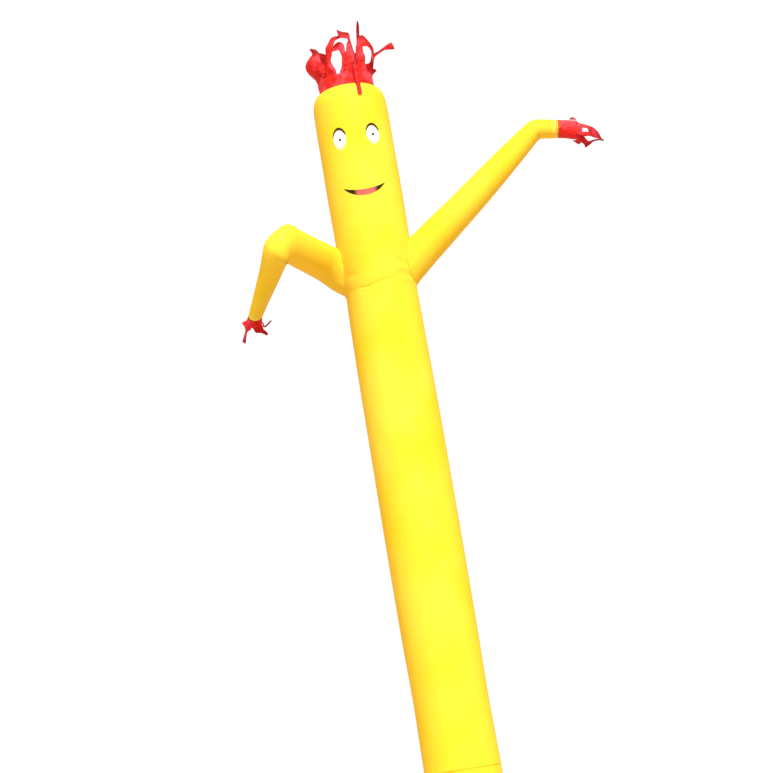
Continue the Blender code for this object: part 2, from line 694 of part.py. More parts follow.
def main():
    clear_scene()
    group = new_collection("inflatable_air_dancer")
    cutters = new_collection("cutters")
    names = [
        "leg_lower", "leg_upper", "torso_head", "arm_left", "arm_right",
        "hair_collar", "hair_fringe", "cuff_left", "cuff_right", "fringe_left", "fringe_right",
    ]
    paint = {}
    for name in names:
        red = name.startswith(("hair", "cuff", "fringe"))
        paint[name] = cloth_material(name + "_nylon", RED if red else YELLOW)

    make_lower_leg(group, paint["leg_lower"])
    make_upper_leg(group, paint["leg_upper"])
    make_torso(group, paint["torso_head"], cutters)
    trim_rings = tube_rings(WAIST_SEAM - 0.20, WAIST_SEAM - 0.02, 2, SEAM_GAP)
    trim_rings += tube_rings(WAIST_SEAM, HEAD_TOP, TORSO_RINGS, SEAM_GAP)
    body = plug_object("sleeve_trim", trim_rings, cutters)
    make_arm("arm_left", ARM_LEFT, group, paint["arm_left"], body)
    make_arm("arm_right", ARM_RIGHT, group, paint["arm_right"], body)

    make_collar(group, paint["hair_collar"])
    angles = [-180 + 360 * i / HAIR_STEPS for i in range(HAIR_STEPS)]
    make_fringe(
        "hair_fringe",
        [collar_point(angle, COLLAR_TOP + SEAM_GAP) for angle in angles],
        [collar_point(angle, BAND_TOP) for angle in angles],
        HAIR, group, paint["hair_fringe"],
    )
    for side, table, strips in (("left", CUFF_LEFT, FINGERS_LEFT), ("right", CUFF_RIGHT, FINGERS_RIGHT)):
        make_cuff("cuff_" + side, table, group, paint["cuff_" + side])
        make_fringe(
            "fringe_" + side,
            ring_points(beyond(table, SEAM_GAP)),
            ring_points(beyond(table, 0.012)),
            strips, group, paint["fringe_" + side], flip=side == "right",
        )

    dancer = bpy.data.objects.new("air_dancer", None)
    group.objects.link(dancer)
    for name in names:
        bpy.data.objects[name].parent = dancer


main()
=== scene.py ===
"""Inflatable air dancer: fine cloth, seams, printed face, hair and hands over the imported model.

Metres, Z up, the tube on the Z axis and the face towards -Y. "left" and "right" are the
viewer's. The tube, sleeves, cuffs, collar and strips are thin single sheets that lie on the
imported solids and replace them.
"""
import math
from collections import namedtuple

import bmesh
import bpy
from mathutils import Matrix, Vector, noise


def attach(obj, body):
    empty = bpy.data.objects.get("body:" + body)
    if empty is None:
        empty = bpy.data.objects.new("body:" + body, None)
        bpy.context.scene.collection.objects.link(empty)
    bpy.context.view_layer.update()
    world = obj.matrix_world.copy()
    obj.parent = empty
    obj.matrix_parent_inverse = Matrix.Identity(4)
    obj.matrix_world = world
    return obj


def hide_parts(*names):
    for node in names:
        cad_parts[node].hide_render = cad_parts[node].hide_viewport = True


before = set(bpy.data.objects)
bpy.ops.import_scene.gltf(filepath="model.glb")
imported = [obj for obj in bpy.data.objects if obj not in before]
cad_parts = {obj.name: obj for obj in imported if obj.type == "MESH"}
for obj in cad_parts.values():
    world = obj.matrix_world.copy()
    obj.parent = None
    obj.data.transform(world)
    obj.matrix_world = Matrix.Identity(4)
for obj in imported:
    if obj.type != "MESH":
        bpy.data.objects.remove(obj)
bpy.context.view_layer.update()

# Heights along the tube
HEM_HEIGHT = 0.045
LOWER_SEAM = 1.455
WAIST_SEAM = 4.425
HEAD_TOP = 5.706
COLLAR_TOP = 5.768
BAND_TOP = 5.783

# Arc length is measured with this radius, from the front of the tube
SPREAD_RADIUS = 0.231
TUBE_STEPS = 192
RING_STEP = 0.022

Width = namedtuple("Width", "height radius")
TUBE = [
    Width(0.000, 0.2290),
    Width(0.500, 0.2305),
    Width(1.000, 0.2311),
    Width(1.455, 0.2304),
    Width(1.640, 0.2282),
    Width(1.880, 0.2256),
    Width(2.240, 0.2302),
    Width(2.730, 0.2318),
    Width(3.220, 0.2312),
    Width(3.720, 0.2292),
    Width(4.100, 0.2261),
    Width(4.355, 0.2224),
    Width(4.425, 0.2204),
    Width(4.500, 0.2232),
    Width(4.650, 0.2282),
    Width(4.870, 0.2311),
    Width(5.050, 0.2327),
    Width(5.300, 0.2319),
    Width(5.460, 0.2321),
    Width(5.560, 0.2306),
    Width(5.620, 0.2272),
    Width(5.660, 0.2165),
    Width(5.688, 0.2000),
    Width(5.706, 0.1770),
]

# The waist seam wanders: angle round the tube (0 is +X, -90 the front) and rise above WAIST_SEAM
Wander = namedtuple("Wander", "angle rise")
WAIST = [
    Wander(-180, -0.038),
    Wander(-165, -0.030),
    Wander(-150, -0.010),
    Wander(-135, -0.006),
    Wander(-110, -0.014),
    Wander(-90, -0.002),
    Wander(-72, 0.010),
    Wander(-52, 0.031),
    Wander(-28, 0.028),
    Wander(-12, 0.002),
    Wander(0, -0.014),
    Wander(30, -0.008),
    Wander(75, 0.002),
    Wander(120, -0.008),
    Wander(150, -0.026),
    Wander(180, -0.038),
]

Collar = namedtuple("Collar", "height left right")
COLLAR = [
    Collar(5.7063, 0.1765, 0.1765),
    Collar(5.735, 0.1720, 0.1735),
    Collar(5.783, 0.1735, 0.1715),
]

# Sleeve sections: centre, width, depth, lean of the width from upright, slant of the section
Ring = namedtuple("Ring", "x y z width depth lean slant")
ARM_RIGHT = [
    Ring(0.120, 0.000, 4.489, 0.243, 0.236, -35, 0),
    Ring(0.204, 0.000, 4.553, 0.237, 0.232, -36, 0),
    Ring(0.304, 0.000, 4.631, 0.222, 0.222, -36, 0),
    Ring(0.437, 0.000, 4.733, 0.210, 0.210, -36, 0),
    Ring(0.572, 0.000, 4.836, 0.196, 0.196, -36, 0),
    Ring(0.705, 0.005, 4.941, 0.183, 0.183, -36, 0),
    Ring(0.839, 0.010, 5.049, 0.168, 0.168, -37, 0),
    Ring(0.971, 0.015, 5.156, 0.148, 0.148, -36, 0),
    Ring(1.092, 0.020, 5.253, 0.127, 0.130, -31, 0),
    Ring(1.118, 0.022, 5.267, 0.126, 0.132, -15, -3),
    Ring(1.146, 0.026, 5.270, 0.124, 0.128, -3, -6),
    Ring(1.199, 0.034, 5.263, 0.119, 0.122, 4, -9),
    Ring(1.261, 0.043, 5.255, 0.114, 0.114, 7, -10),
]
CUFF_RIGHT = [
    Ring(1.2613, 0.0431, 5.255, 0.1136, 0.1136, 7, -10),
    Ring(1.290, 0.049, 5.251, 0.112, 0.112, 8, -10),
    Ring(1.330, 0.057, 5.246, 0.115, 0.111, 9, -10),
    Ring(1.367, 0.066, 5.240, 0.114, 0.108, 10, -10),
]
ARM_LEFT = [
    Ring(-0.120, 0.020, 4.545, 0.262, 0.232, 16, 0),
    Ring(-0.205, 0.012, 4.575, 0.256, 0.230, 22, 4),
    Ring(-0.252, -0.012, 4.597, 0.240, 0.224, 31, 14),
    Ring(-0.300, -0.056, 4.625, 0.228, 0.213, 36, 28),
    Ring(-0.361, -0.150, 4.651, 0.224, 0.195, 36, 42),
    Ring(-0.425, -0.262, 4.674, 0.221, 0.170, 36, 46),
    Ring(-0.478, -0.362, 4.692, 0.220, 0.145, 29, 38),
    Ring(-0.509, -0.425, 4.701, 0.240, 0.135, 9, 20),
    Ring(-0.541, -0.452, 4.680, 0.217, 0.140, -7, 2),
    Ring(-0.578, -0.438, 4.656, 0.190, 0.160, -31, -18),
    Ring(-0.606, -0.375, 4.620, 0.155, 0.172, -55, -34),
    Ring(-0.645, -0.290, 4.569, 0.136, 0.170, -61, -42),
    Ring(-0.693, -0.200, 4.508, 0.118, 0.160, -61, -44),
    Ring(-0.742, -0.110, 4.446, 0.099, 0.150, -61, -44),
    Ring(-0.790, -0.025, 4.382, 0.081, 0.140, -61, -43),
]
CUFF_LEFT = [
    Ring(-0.7901, -0.0248, 4.3818, 0.0805, 0.139, -61, -43),
    Ring(-0.7945, -0.0165, 4.3742, 0.084, 0.1365, -61, -43),
    Ring(-0.799, -0.008, 4.3665, 0.088, 0.134, -61, -43),
    Ring(-0.8035, 0.0005, 4.3588, 0.092, 0.132, -61, -43),
]

# A strip leaves its band between two steps and passes through its sections: centre, width,
# and the turn (about Z, from +X) and tip (out of the level) of the width, in degrees
HAIR_STEPS = 48
FINGER_STEPS = 20
Cut = namedtuple("Cut", "x y z width turn tip")
Strip = namedtuple("Strip", "first last cuts")
HAIR = [
    # wide lobe that bellies out on the left
    Strip(0, 5, [
        Cut(-0.158, -0.057, 5.805, 0.119, -64, -8),
        Cut(-0.169, -0.066, 5.853, 0.177, -43, -21),
        Cut(-0.169, -0.071, 5.884, 0.180, -41, -21),
        Cut(-0.170, -0.073, 5.914, 0.150, -45, -23),
        Cut(-0.159, -0.072, 5.947, 0.102, -52, -27),
        Cut(-0.155, -0.077, 5.969, 0.079, -49, -24),
        Cut(-0.165, -0.079, 5.992, 0.058, -44, -19),
        Cut(-0.184, -0.071, 6.007, 0.015, -42, -12),
    ]),
    # arches over to the right
    Strip(6, 10, [
        Cut(-0.082, -0.148, 5.799, 0.081, -31, 0),
        Cut(-0.079, -0.151, 5.820, 0.070, -29, -7),
        Cut(-0.080, -0.151, 5.839, 0.058, -28, -18),
        Cut(-0.083, -0.149, 5.887, 0.038, -30, -19),
        Cut(-0.075, -0.148, 5.920, 0.045, -23, -27),
        Cut(-0.064, -0.144, 5.964, 0.051, -15, -20),
        Cut(-0.049, -0.136, 5.995, 0.040, -18, -17),
        Cut(-0.030, -0.126, 6.023, 0.038, -14, -33),
        Cut(-0.006, -0.114, 6.035, 0.028, -11, -41),
        Cut(0.020, -0.106, 6.036, 0.013, 0, -79),
        Cut(0.052, -0.104, 6.027, 0.011, 180, -66),
    ]),
    # curls back to the left over the large gap
    Strip(11, 12, [
        Cut(-0.008, -0.178, 5.793, 0.028, -4, 0),
        Cut(0.004, -0.180, 5.814, 0.027, 0, 0),
        Cut(0.014, -0.180, 5.860, 0.026, 0, -10),
        Cut(0.017, -0.178, 5.884, 0.027, 0, 10),
        Cut(0.015, -0.174, 5.916, 0.035, 0, 32),
        Cut(0.012, -0.168, 5.941, 0.048, 0, 45),
        Cut(0.003, -0.160, 5.959, 0.053, 0, 54),
        Cut(-0.010, -0.148, 5.966, 0.056, 0, 68),
        Cut(-0.026, -0.138, 5.965, 0.049, 0, 76),
        Cut(-0.042, -0.130, 5.959, 0.030, 0, 76),
    ]),
    # narrow neck and a pointed flag
    Strip(13, 14, [
        Cut(0.034, -0.163, 5.791, 0.058, 12, 0),
        Cut(0.034, -0.163, 5.806, 0.053, 12, 0),
        Cut(0.052, -0.159, 5.862, 0.058, 10, -3),
        Cut(0.058, -0.154, 5.910, 0.057, 8, -4),
        Cut(0.059, -0.151, 5.931, 0.044, 8, 0),
        Cut(0.062, -0.147, 5.967, 0.032, 11, -5),
        Cut(0.066, -0.144, 5.994, 0.018, 13, 2),
        Cut(0.062, -0.140, 6.013, 0.024, 10, 7),
        Cut(0.040, -0.136, 6.029, 0.068, 3, 1),
        Cut(0.037, -0.135, 6.044, 0.070, 4, -9),
        Cut(0.033, -0.133, 6.065, 0.076, 5, -24),
    ]),
    # folds over and hangs down in front of the head
    Strip(15, 16, [
        Cut(0.075, -0.164, 5.802, 0.024, 22, 0),
        Cut(0.075, -0.174, 5.809, 0.026, 12, 0),
        Cut(0.075, -0.185, 5.800, 0.027, 4, 0),
        Cut(0.075, -0.182, 5.765, 0.027, 4, 0),
        Cut(0.075, -0.185, 5.715, 0.027, 4, 0),
        Cut(0.076, -0.205, 5.668, 0.027, 6, 0),
        Cut(0.077, -0.224, 5.612, 0.026, 7, 0),
    ]),
    # arches over the gap on the right
    Strip(17, 20, [
        Cut(0.120, -0.114, 5.791, 0.086, 43, 0),
        Cut(0.118, -0.117, 5.805, 0.086, 42, -1),
        Cut(0.113, -0.125, 5.840, 0.072, 36, 0),
        Cut(0.118, -0.128, 5.887, 0.070, 35, 3),
        Cut(0.116, -0.128, 5.912, 0.060, 37, 6),
        Cut(0.125, -0.126, 5.953, 0.048, 38, -19),
        Cut(0.136, -0.123, 5.974, 0.067, 25, -50),
        Cut(0.157, -0.118, 5.983, 0.079, 27, -71),
        Cut(0.175, -0.113, 5.968, 0.068, 28, -79),
        Cut(0.189, -0.108, 5.944, 0.038, 157, -78),
        Cut(0.198, -0.104, 5.920, 0.030, 180, -59),
        Cut(0.196, -0.100, 5.890, 0.026, 180, -36),
        Cut(0.189, -0.097, 5.858, 0.025, 180, -6),
    ]),
    # thin streamer with a flared end
    Strip(21, 24, [
        Cut(0.163, -0.036, 5.791, 0.073, 70, 0),
        Cut(0.158, -0.038, 5.806, 0.073, 56, -4),
        Cut(0.164, -0.046, 5.833, 0.068, 50, -23),
        Cut(0.178, -0.057, 5.842, 0.040, 53, -20),
        Cut(0.189, -0.061, 5.866, 0.026, 49, -26),
        Cut(0.197, -0.060, 5.887, 0.024, 42, -42),
        Cut(0.211, -0.062, 5.899, 0.021, 47, -75),
        Cut(0.234, -0.061, 5.910, 0.016, 36, -78),
        Cut(0.274, -0.062, 5.929, 0.021, 0, -79),
        Cut(0.301, -0.062, 5.935, 0.037, 180, -89),
        Cut(0.333, -0.062, 5.939, 0.049, 0, -75),
    ]),
    # short end that folds out on the right
    Strip(25, 26, [
        Cut(0.173, 0.031, 5.798, 0.022, 95, 0),
        Cut(0.185, 0.022, 5.816, 0.023, 63, -10),
        Cut(0.188, 0.016, 5.823, 0.037, 27, -14),
        Cut(0.190, 0.012, 5.834, 0.027, 28, -15),
    ]),
    # falls back behind
    Strip(27, 29, [
        Cut(0.156, 0.096, 5.812, 0.044, 124, 0),
        Cut(0.160, 0.128, 5.824, 0.042, 130, 0),
        Cut(0.158, 0.162, 5.806, 0.038, 134, 0),
        Cut(0.156, 0.182, 5.762, 0.030, 138, 0),
    ]),
    # tallest strip, thin and straight
    Strip(30, 31, [
        Cut(0.112, 0.131, 5.850, 0.022, 142, 0),
        Cut(0.111, 0.130, 5.940, 0.021, 152, 0),
        Cut(0.116, 0.128, 6.020, 0.020, 166, 0),
        Cut(0.126, 0.126, 6.100, 0.020, 175, 0),
        Cut(0.135, 0.124, 6.162, 0.019, 180, 0),
        Cut(0.140, 0.122, 6.202, 0.009, 180, 0),
    ]),
    # stands up behind the flag
    Strip(32, 34, [
        Cut(0.049, 0.156, 5.833, 0.058, 164, 10),
        Cut(0.056, 0.152, 5.913, 0.065, 169, 7),
        Cut(0.060, 0.146, 5.965, 0.069, 173, 8),
        Cut(0.064, 0.139, 5.991, 0.059, 174, 7),
        Cut(0.075, 0.136, 6.001, 0.037, 174, 6),
    ]),
    # falls back behind
    Strip(35, 39, [
        Cut(-0.024, 0.186, 5.812, 0.084, 187, 0),
        Cut(-0.030, 0.212, 5.818, 0.078, 187, 0),
        Cut(-0.036, 0.238, 5.798, 0.068, 187, 0),
        Cut(-0.040, 0.252, 5.752, 0.052, 187, 0),
    ]),
    # stands up behind the left lobe
    Strip(41, 45, [
        Cut(-0.139, 0.100, 5.866, 0.079, -135, 6),
        Cut(-0.131, 0.094, 5.933, 0.071, -142, 0),
        Cut(-0.123, 0.086, 5.977, 0.064, -146, 2),
        Cut(-0.115, 0.079, 6.012, 0.054, -146, 12),
    ]),
]
FINGERS_RIGHT = [
    # end folded back over the cuff
    Strip(0, 1, [
        Cut(1.388, 0.078, 5.304, 0.022, 84, 26),
        Cut(1.381, 0.072, 5.307, 0.022, 83, 42),
        Cut(1.367, 0.066, 5.313, 0.025, 83, 62),
        Cut(1.357, 0.063, 5.313, 0.023, 61, 60),
        Cut(1.345, 0.061, 5.309, 0.009, 102, 54),
    ]),
    # folds back behind
    Strip(3, 5, [
        Cut(1.404, 0.126, 5.250, 0.034, 30, -78),
        Cut(1.398, 0.144, 5.246, 0.030, 20, -80),
        Cut(1.368, 0.150, 5.240, 0.020, 10, -80),
    ]),
    # long low streamer
    Strip(6, 8, [
        Cut(1.396, 0.108, 5.186, 0.027, -135, -65),
        Cut(1.411, 0.104, 5.164, 0.035, -157, -73),
        Cut(1.422, 0.100, 5.152, 0.042, 180, -74),
        Cut(1.437, 0.096, 5.145, 0.029, 180, -86),
        Cut(1.470, 0.093, 5.156, 0.014, 180, -75),
        Cut(1.512, 0.090, 5.156, 0.011, 180, -80),
        Cut(1.533, 0.088, 5.145, 0.013, 180, -65),
    ]),
    # flap under the cuff
    Strip(9, 10, [
        Cut(1.370, 0.081, 5.174, 0.025, -119, -10),
        Cut(1.369, 0.075, 5.165, 0.064, -163, 16),
        Cut(1.370, 0.075, 5.158, 0.050, -167, 17),
        Cut(1.372, 0.074, 5.150, 0.023, -164, 13),
        Cut(1.372, 0.074, 5.144, 0.005, -157, 10),
    ]),
    # bends down to a dark tip
    Strip(11, 13, [
        Cut(1.374, 0.032, 5.175, 0.032, -66, 57),
        Cut(1.401, 0.028, 5.159, 0.036, -28, 44),
        Cut(1.412, 0.026, 5.144, 0.028, -28, 52),
        Cut(1.418, 0.027, 5.128, 0.034, -4, 36),
        Cut(1.411, 0.028, 5.104, 0.015, 0, -3),
    ]),
    # bridges the two gaps
    Strip(14, 16, [
        Cut(1.379, 0.015, 5.216, 0.060, 12, 81),
        Cut(1.399, 0.012, 5.203, 0.057, 14, 73),
        Cut(1.408, 0.011, 5.187, 0.034, 164, 78),
        Cut(1.436, 0.012, 5.183, 0.030, 180, 85),
        Cut(1.453, 0.018, 5.177, 0.027, 180, 81),
        Cut(1.469, 0.024, 5.167, 0.019, 180, 81),
    ]),
    # top strip that arches down to the right
    Strip(17, 19, [
        Cut(1.388, 0.040, 5.268, 0.030, 65, 42),
        Cut(1.404, 0.038, 5.253, 0.032, 52, 51),
        Cut(1.421, 0.038, 5.244, 0.033, 27, 38),
        Cut(1.451, 0.038, 5.231, 0.027, 21, 35),
        Cut(1.462, 0.040, 5.212, 0.046, 14, 42),
        Cut(1.478, 0.044, 5.189, 0.056, 15, 57),
        Cut(1.498, 0.048, 5.171, 0.037, 11, 55),
        Cut(1.512, 0.052, 5.155, 0.014, 0, 56),
        Cut(1.521, 0.056, 5.143, 0.006, 0, 60),
    ]),
]
FINGERS_LEFT = [
    # short end behind on the left
    Strip(1, 3, [
        Cut(-0.834, 0.042, 4.378, 0.034, 40, 14),
        Cut(-0.841, 0.056, 4.362, 0.026, 40, 10),
        Cut(-0.848, 0.068, 4.347, 0.012, 40, 8),
    ]),
    # short end behind
    Strip(4, 6, [
        Cut(-0.794, 0.068, 4.378, 0.044, 0, -30),
        Cut(-0.800, 0.080, 4.364, 0.036, 0, -30),
        Cut(-0.806, 0.090, 4.350, 0.020, 0, -28),
    ]),
    # thin strip that stands out on the right
    Strip(7, 8, [
        Cut(-0.753, 0.039, 4.343, 0.011, -139, -32),
        Cut(-0.752, 0.036, 4.328, 0.012, -152, -44),
        Cut(-0.744, 0.033, 4.321, 0.012, -130, -78),
        Cut(-0.719, 0.030, 4.337, 0.010, 0, -65),
        Cut(-0.699, 0.026, 4.352, 0.009, 0, -45),
    ]),
    # crumpled flap with a dark tip on the right
    Strip(9, 14, [
        Cut(-0.785, -0.012, 4.311, 0.077, -141, -9),
        Cut(-0.779, -0.012, 4.291, 0.067, -140, -23),
        Cut(-0.761, -0.008, 4.284, 0.039, -134, -31),
        Cut(-0.745, -0.006, 4.272, 0.024, -139, -39),
        Cut(-0.735, -0.006, 4.260, 0.018, 180, -59),
    ]),
    # wide flap on the left that narrows to a long strip
    Strip(15, 20, [
        Cut(-0.848, -0.018, 4.336, 0.084, 138, 50),
        Cut(-0.857, -0.019, 4.329, 0.080, 146, 48),
        Cut(-0.857, -0.021, 4.316, 0.046, 144, 49),
        Cut(-0.860, -0.022, 4.301, 0.027, 143, 61),
        Cut(-0.868, -0.022, 4.278, 0.017, 162, 39),
        Cut(-0.880, -0.022, 4.246, 0.021, 180, 15),
        Cut(-0.885, -0.022, 4.230, 0.024, 180, 40),
    ]),
]


# Painted shade: how dark each strip is drawn, and how much darker its end, in the order of the tables above
HAIR_SHADES = [
    (0.05, 0.60), (0.15, 0.25), (0.05, 0.20), (0.25, 0.35), (0.15, 0.10), (0.10, 0.20), (0.35, 0.00),
    (0.10, 0.70), (0.50, 0.20), (0.60, 0.40), (0.35, 0.20), (0.50, 0.20), (0.65, 0.10),
]
RIGHT_FINGER_SHADES = [
    (0.55, 0.45), (0.55, 0.35), (0.50, 0.60), (0.45, 0.45), (0.40, 0.75), (0.25, 0.30), (0.40, 0.40),
]
LEFT_FINGER_SHADES = [(0.60, 0.30), (0.60, 0.30), (0.60, 0.30), (0.45, 0.85), (0.45, 0.70)]


# Smooth reading of the tables

def smooth(value, low, high):
    """0 below low, 1 above high, and an even slope between."""
    t = min(1.0, max(0.0, (value - low) / (high - low)))
    return t * t * (3 - 2 * t)


def between(places, values, at):
    """Smooth value at a place between the table's places."""
    if at <= places[0]:
        return values[0]
    if at >= places[-1]:
        return values[-1]
    i = 0
    while places[i + 1] < at:
        i += 1
    slopes = []
    for k in (i, i + 1):
        low = max(k - 1, 0)
        high = min(k + 1, len(places) - 1)
        slopes.append((values[high] - values[low]) / (places[high] - places[low]))
    span = places[i + 1] - places[i]
    t = (at - places[i]) / span
    return (
        values[i] * (1 + 2 * t) * (1 - t) ** 2
        + slopes[0] * span * t * (1 - t) ** 2
        + values[i + 1] * t * t * (3 - 2 * t)
        + slopes[1] * span * t * t * (t - 1)
    )


def read_table(rows, key, value, at):
    places = [getattr(row, key) for row in rows]
    values = [getattr(row, value) for row in rows]
    return between(places, values, at)


def ring_places(rings):
    """Distance of each section's centre along the sleeve."""
    places = [0.0]
    for a, b in zip(rings, rings[1:]):
        places.append(places[-1] + math.dist(a[:3], b[:3]))
    return places


def ring_at(rings, places, at):
    return Ring(*[between(places, [ring[k] for ring in rings], at) for k in range(7)])


def ring_axes(ring):
    """Unit vectors along the section's width and along its depth."""
    lean = math.radians(ring.lean)
    slant = math.radians(ring.slant)
    wide = Vector((math.sin(lean), 0.0, math.cos(lean)))
    back = Vector((0.0, 1.0, 0.0))
    deep = back * math.cos(slant) + wide.cross(back) * math.sin(slant)
    return wide, deep


def ring_point(ring, turn, out=0.0):
    wide, deep = ring_axes(ring)
    centre = Vector((ring.x, ring.y, ring.z))
    across = wide * (ring.width / 2 + out) * math.cos(turn)
    return centre + across + deep * (ring.depth / 2 + out) * math.sin(turn)


def rough(x, y, z=0.0):
    """Even noise from -1 to 1."""
    return noise.noise(Vector((x, y, z)))


# Objects

def new_material(name):
    material = bpy.data.materials.new(name)
    material.use_nodes = True
    return material


def join_rows(bm, verts, closed, spans):
    """Faces between neighbouring rows, with each corner's flat place (along, up) in metres as its map.

    spans holds, for each row, the flat place of each point, and of the closing point as well
    where the rows are closed.
    """
    flat = bm.loops.layers.uv["cloth"]
    for r in range(len(verts) - 1):
        count = len(verts[r])
        for i in range(count if closed else count - 1):
            j = (i + 1) % count
            face = bm.faces.new((verts[r][i], verts[r][j], verts[r + 1][j], verts[r + 1][i]))
            face.smooth = True
            corners = ((r, i), (r, i + 1), (r + 1, i + 1), (r + 1, i))
            for loop, (row, column) in zip(face.loops, corners):
                loop[flat].uv = spans[row][column]


def link_object(name, bm, material):
    mesh = bpy.data.meshes.new(name)
    bm.to_mesh(mesh)
    bm.free()
    mesh.materials.append(material)
    thing = bpy.data.objects.new(name, mesh)
    bpy.context.scene.collection.objects.link(thing)
    return thing


def grid_object(name, rows, spans, material):
    """Sheet through closed rows of points."""
    bm = bmesh.new()
    bm.loops.layers.uv.new("cloth")
    verts = [[bm.verts.new(point) for point in row] for row in rows]
    join_rows(bm, verts, True, spans)
    return link_object(name, bm, material)


def surface_area(thing):
    return sum(face.area for face in thing.data.polygons)


# Tube

def waist_rise(angle):
    return read_table(WAIST, "angle", "rise", angle)


def seam_height(angle, height):
    """Height of a ring once the waist seam's wander has carried it up or down."""
    near = max(0.0, 1 - abs(height - WAIST_SEAM) / 0.35)
    return height + waist_rise(angle) * near * near * (3 - 2 * near)


def tube_radius(angle, height):
    turn = math.radians(angle)
    fade = math.exp(-(((height - WAIST_SEAM) / 0.07) ** 2))
    folds = 0.5 + 0.5 * math.sin(9 * turn + 1.2 * math.sin(2 * turn))
    return read_table(TUBE, "height", "radius", height) - 0.0016 * fade * folds


def hump(value, middle, half):
    """1 at the middle, falling evenly to nothing."""
    return math.exp(-(((value - middle) / half) ** 2))


def window(value, low, high, soft):
    return smooth(value, low - soft, low + soft) * (1 - smooth(value, high - soft, high + soft))


def seam_gathers(x, y, distance, size):
    """Short uneven wrinkles that run away from a seam."""
    fine = rough(x * 34, y * 34, distance * 5)
    finer = rough(x * 71 + 9, y * 71, distance * 8)
    return size * math.exp(-abs(distance) / 0.04) * (0.65 * fine + 0.35 * finer)


def waist_relief(angle, above):
    """Creases and bulges at the waist seam; above is the height over the seam."""
    groove = 0.0033 * window(angle, -124, -102, 6) * hump(above, -0.003, 0.006)
    groove += 0.0032 * window(angle, -100, -72, 5) * hump(above, 0.006, 0.006)
    groove += 0.0028 * window(angle, -60, -12, 9) * hump(above, 0.010, 0.022)
    groove += 0.0030 * window(angle, 20, 160, 30) * hump(above, 0.000, 0.008)
    bulge = 0.0018 * hump(above, 0.040, 0.030)
    bulge += 0.0030 * window(angle, -60, -15, 12) * hump(above, -0.026, 0.016)
    slope = 4.549 - 0.0012 * (angle + 57) - WAIST_SEAM
    fold = 0.0045 * window(angle, -60, -30, 8) * hump(above + waist_rise(angle), slope, 0.024)
    fold += 0.0040 * window(angle, -150, -128, 8) * hump(above, 0.085, 0.020)
    return bulge - groove - fold


def tube_relief(angle, height):
    """How far the visible cloth stands off the plain outline."""
    turn = math.radians(angle)
    x = SPREAD_RADIUS * math.cos(turn)
    y = SPREAD_RADIUS * math.sin(turn)
    out = 0.0016 * rough(x * 2.2, y * 2.2, height * 0.9)
    out += 0.0007 * rough(x * 7, y * 7, height * 2.5)
    for seam, size in ((HEM_HEIGHT, 0.0030), (LOWER_SEAM, 0.0030), (WAIST_SEAM, 0.0014), (HEAD_TOP, 0.0048)):
        if abs(height - seam) < 0.25:
            out += seam_gathers(x, y, height - seam, size)
    if abs(height - WAIST_SEAM) < 0.25:
        out += waist_relief(angle, height - WAIST_SEAM)
    if abs(height - LOWER_SEAM) < 0.1:
        dip = 0.0030 * hump(height, LOWER_SEAM - 0.003, 0.006)
        out -= dip * (0.35 + 0.65 * window(angle, -132, -92, 9))
        out += 0.0020 * hump(height, LOWER_SEAM + 0.022, 0.014)
    return out


def tube_point(angle, height, out):
    radius = tube_radius(angle, height) + out
    turn = math.radians(angle)
    return Vector((radius * math.cos(turn), radius * math.sin(turn), seam_height(angle, height)))


def tube_angle(column):
    """Degrees from -180 to 180 of a column of points, counted from the back seam."""
    whole = 90 + 360 * column / TUBE_STEPS
    return whole - 360 if whole > 180 else whole


def tube_heights(low, high, dense):
    """Heights of rings, close together near the seams and folds in dense."""
    heights = [low]
    while heights[-1] < high - 0.001:
        here = heights[-1]
        step = RING_STEP
        for place, reach, fine in dense:
            if abs(here - place) < reach:
                step = min(step, fine)
        heights.append(min(high, here + step))
    return heights


def tube_grid(low, high, dense, lap=0.0):
    """Rows of points up the tube from its back seam round to it again, and their flat places.

    lap is how far the lower edge stands out over the panel below.
    """
    rows, spans = [], []
    for height in tube_heights(low, high, dense):
        row, span = [], []
        for i in range(TUBE_STEPS + 1):
            if i < TUBE_STEPS:
                angle = tube_angle(i)
                over = lap * (1 - smooth(height, low + 0.011, low + 0.014))
                row.append(tube_point(angle, height, tube_relief(angle, height) + over))
            span.append((math.radians(360 * i / TUBE_STEPS - 180) * SPREAD_RADIUS, height))
        rows.append(row)
        spans.append(span)
    return rows, spans


# Armholes and sleeves

SLEEVE_STEPS = 96
SLEEVE_ROW = 0.012

# Width given to a sleeve's flat cloth, near the mean of its girth
SLEEVE_GIRTH = 0.60

# The rows fan out from the slanting armhole over its root's length, and run square from there
SLEEVE_ROOT_ROWS = 14
ROOT_LENGTH = 0.05

# The left sleeve's root hangs this far under its armhole, from this height above its lowest point down
SLEEVE_DROOP = 0.014
DROOP_HEIGHT = 0.07

# Tube and sleeve are both pushed out to a raised seam, and the push dies away with these distances
SEAM_PUSH = 0.0025
TUBE_FADE = 0.024
SLEEVE_FADE = 0.026
DROOP_FADE = 0.085

# The tube is moved this near to an armhole's middle, and cut away this deep inside its seam
HOLE_REACH = 0.36
CUT_DEPTH = 0.008
Armhole = namedtuple("Armhole", "starts points pushes flat length droops")


def sleeve_start(rings, places, turn):
    """Distance along the sleeve at which its wall leaves the tube."""
    inner, outer = 0.0, places[4]
    for _ in range(30):
        middle = (inner + outer) / 2
        point = ring_point(ring_at(rings, places, middle), turn)
        angle = math.degrees(math.atan2(point.y, point.x))
        if math.hypot(point.x, point.y) < tube_radius(angle, point.z):
            inner = middle
        else:
            outer = middle
    return outer


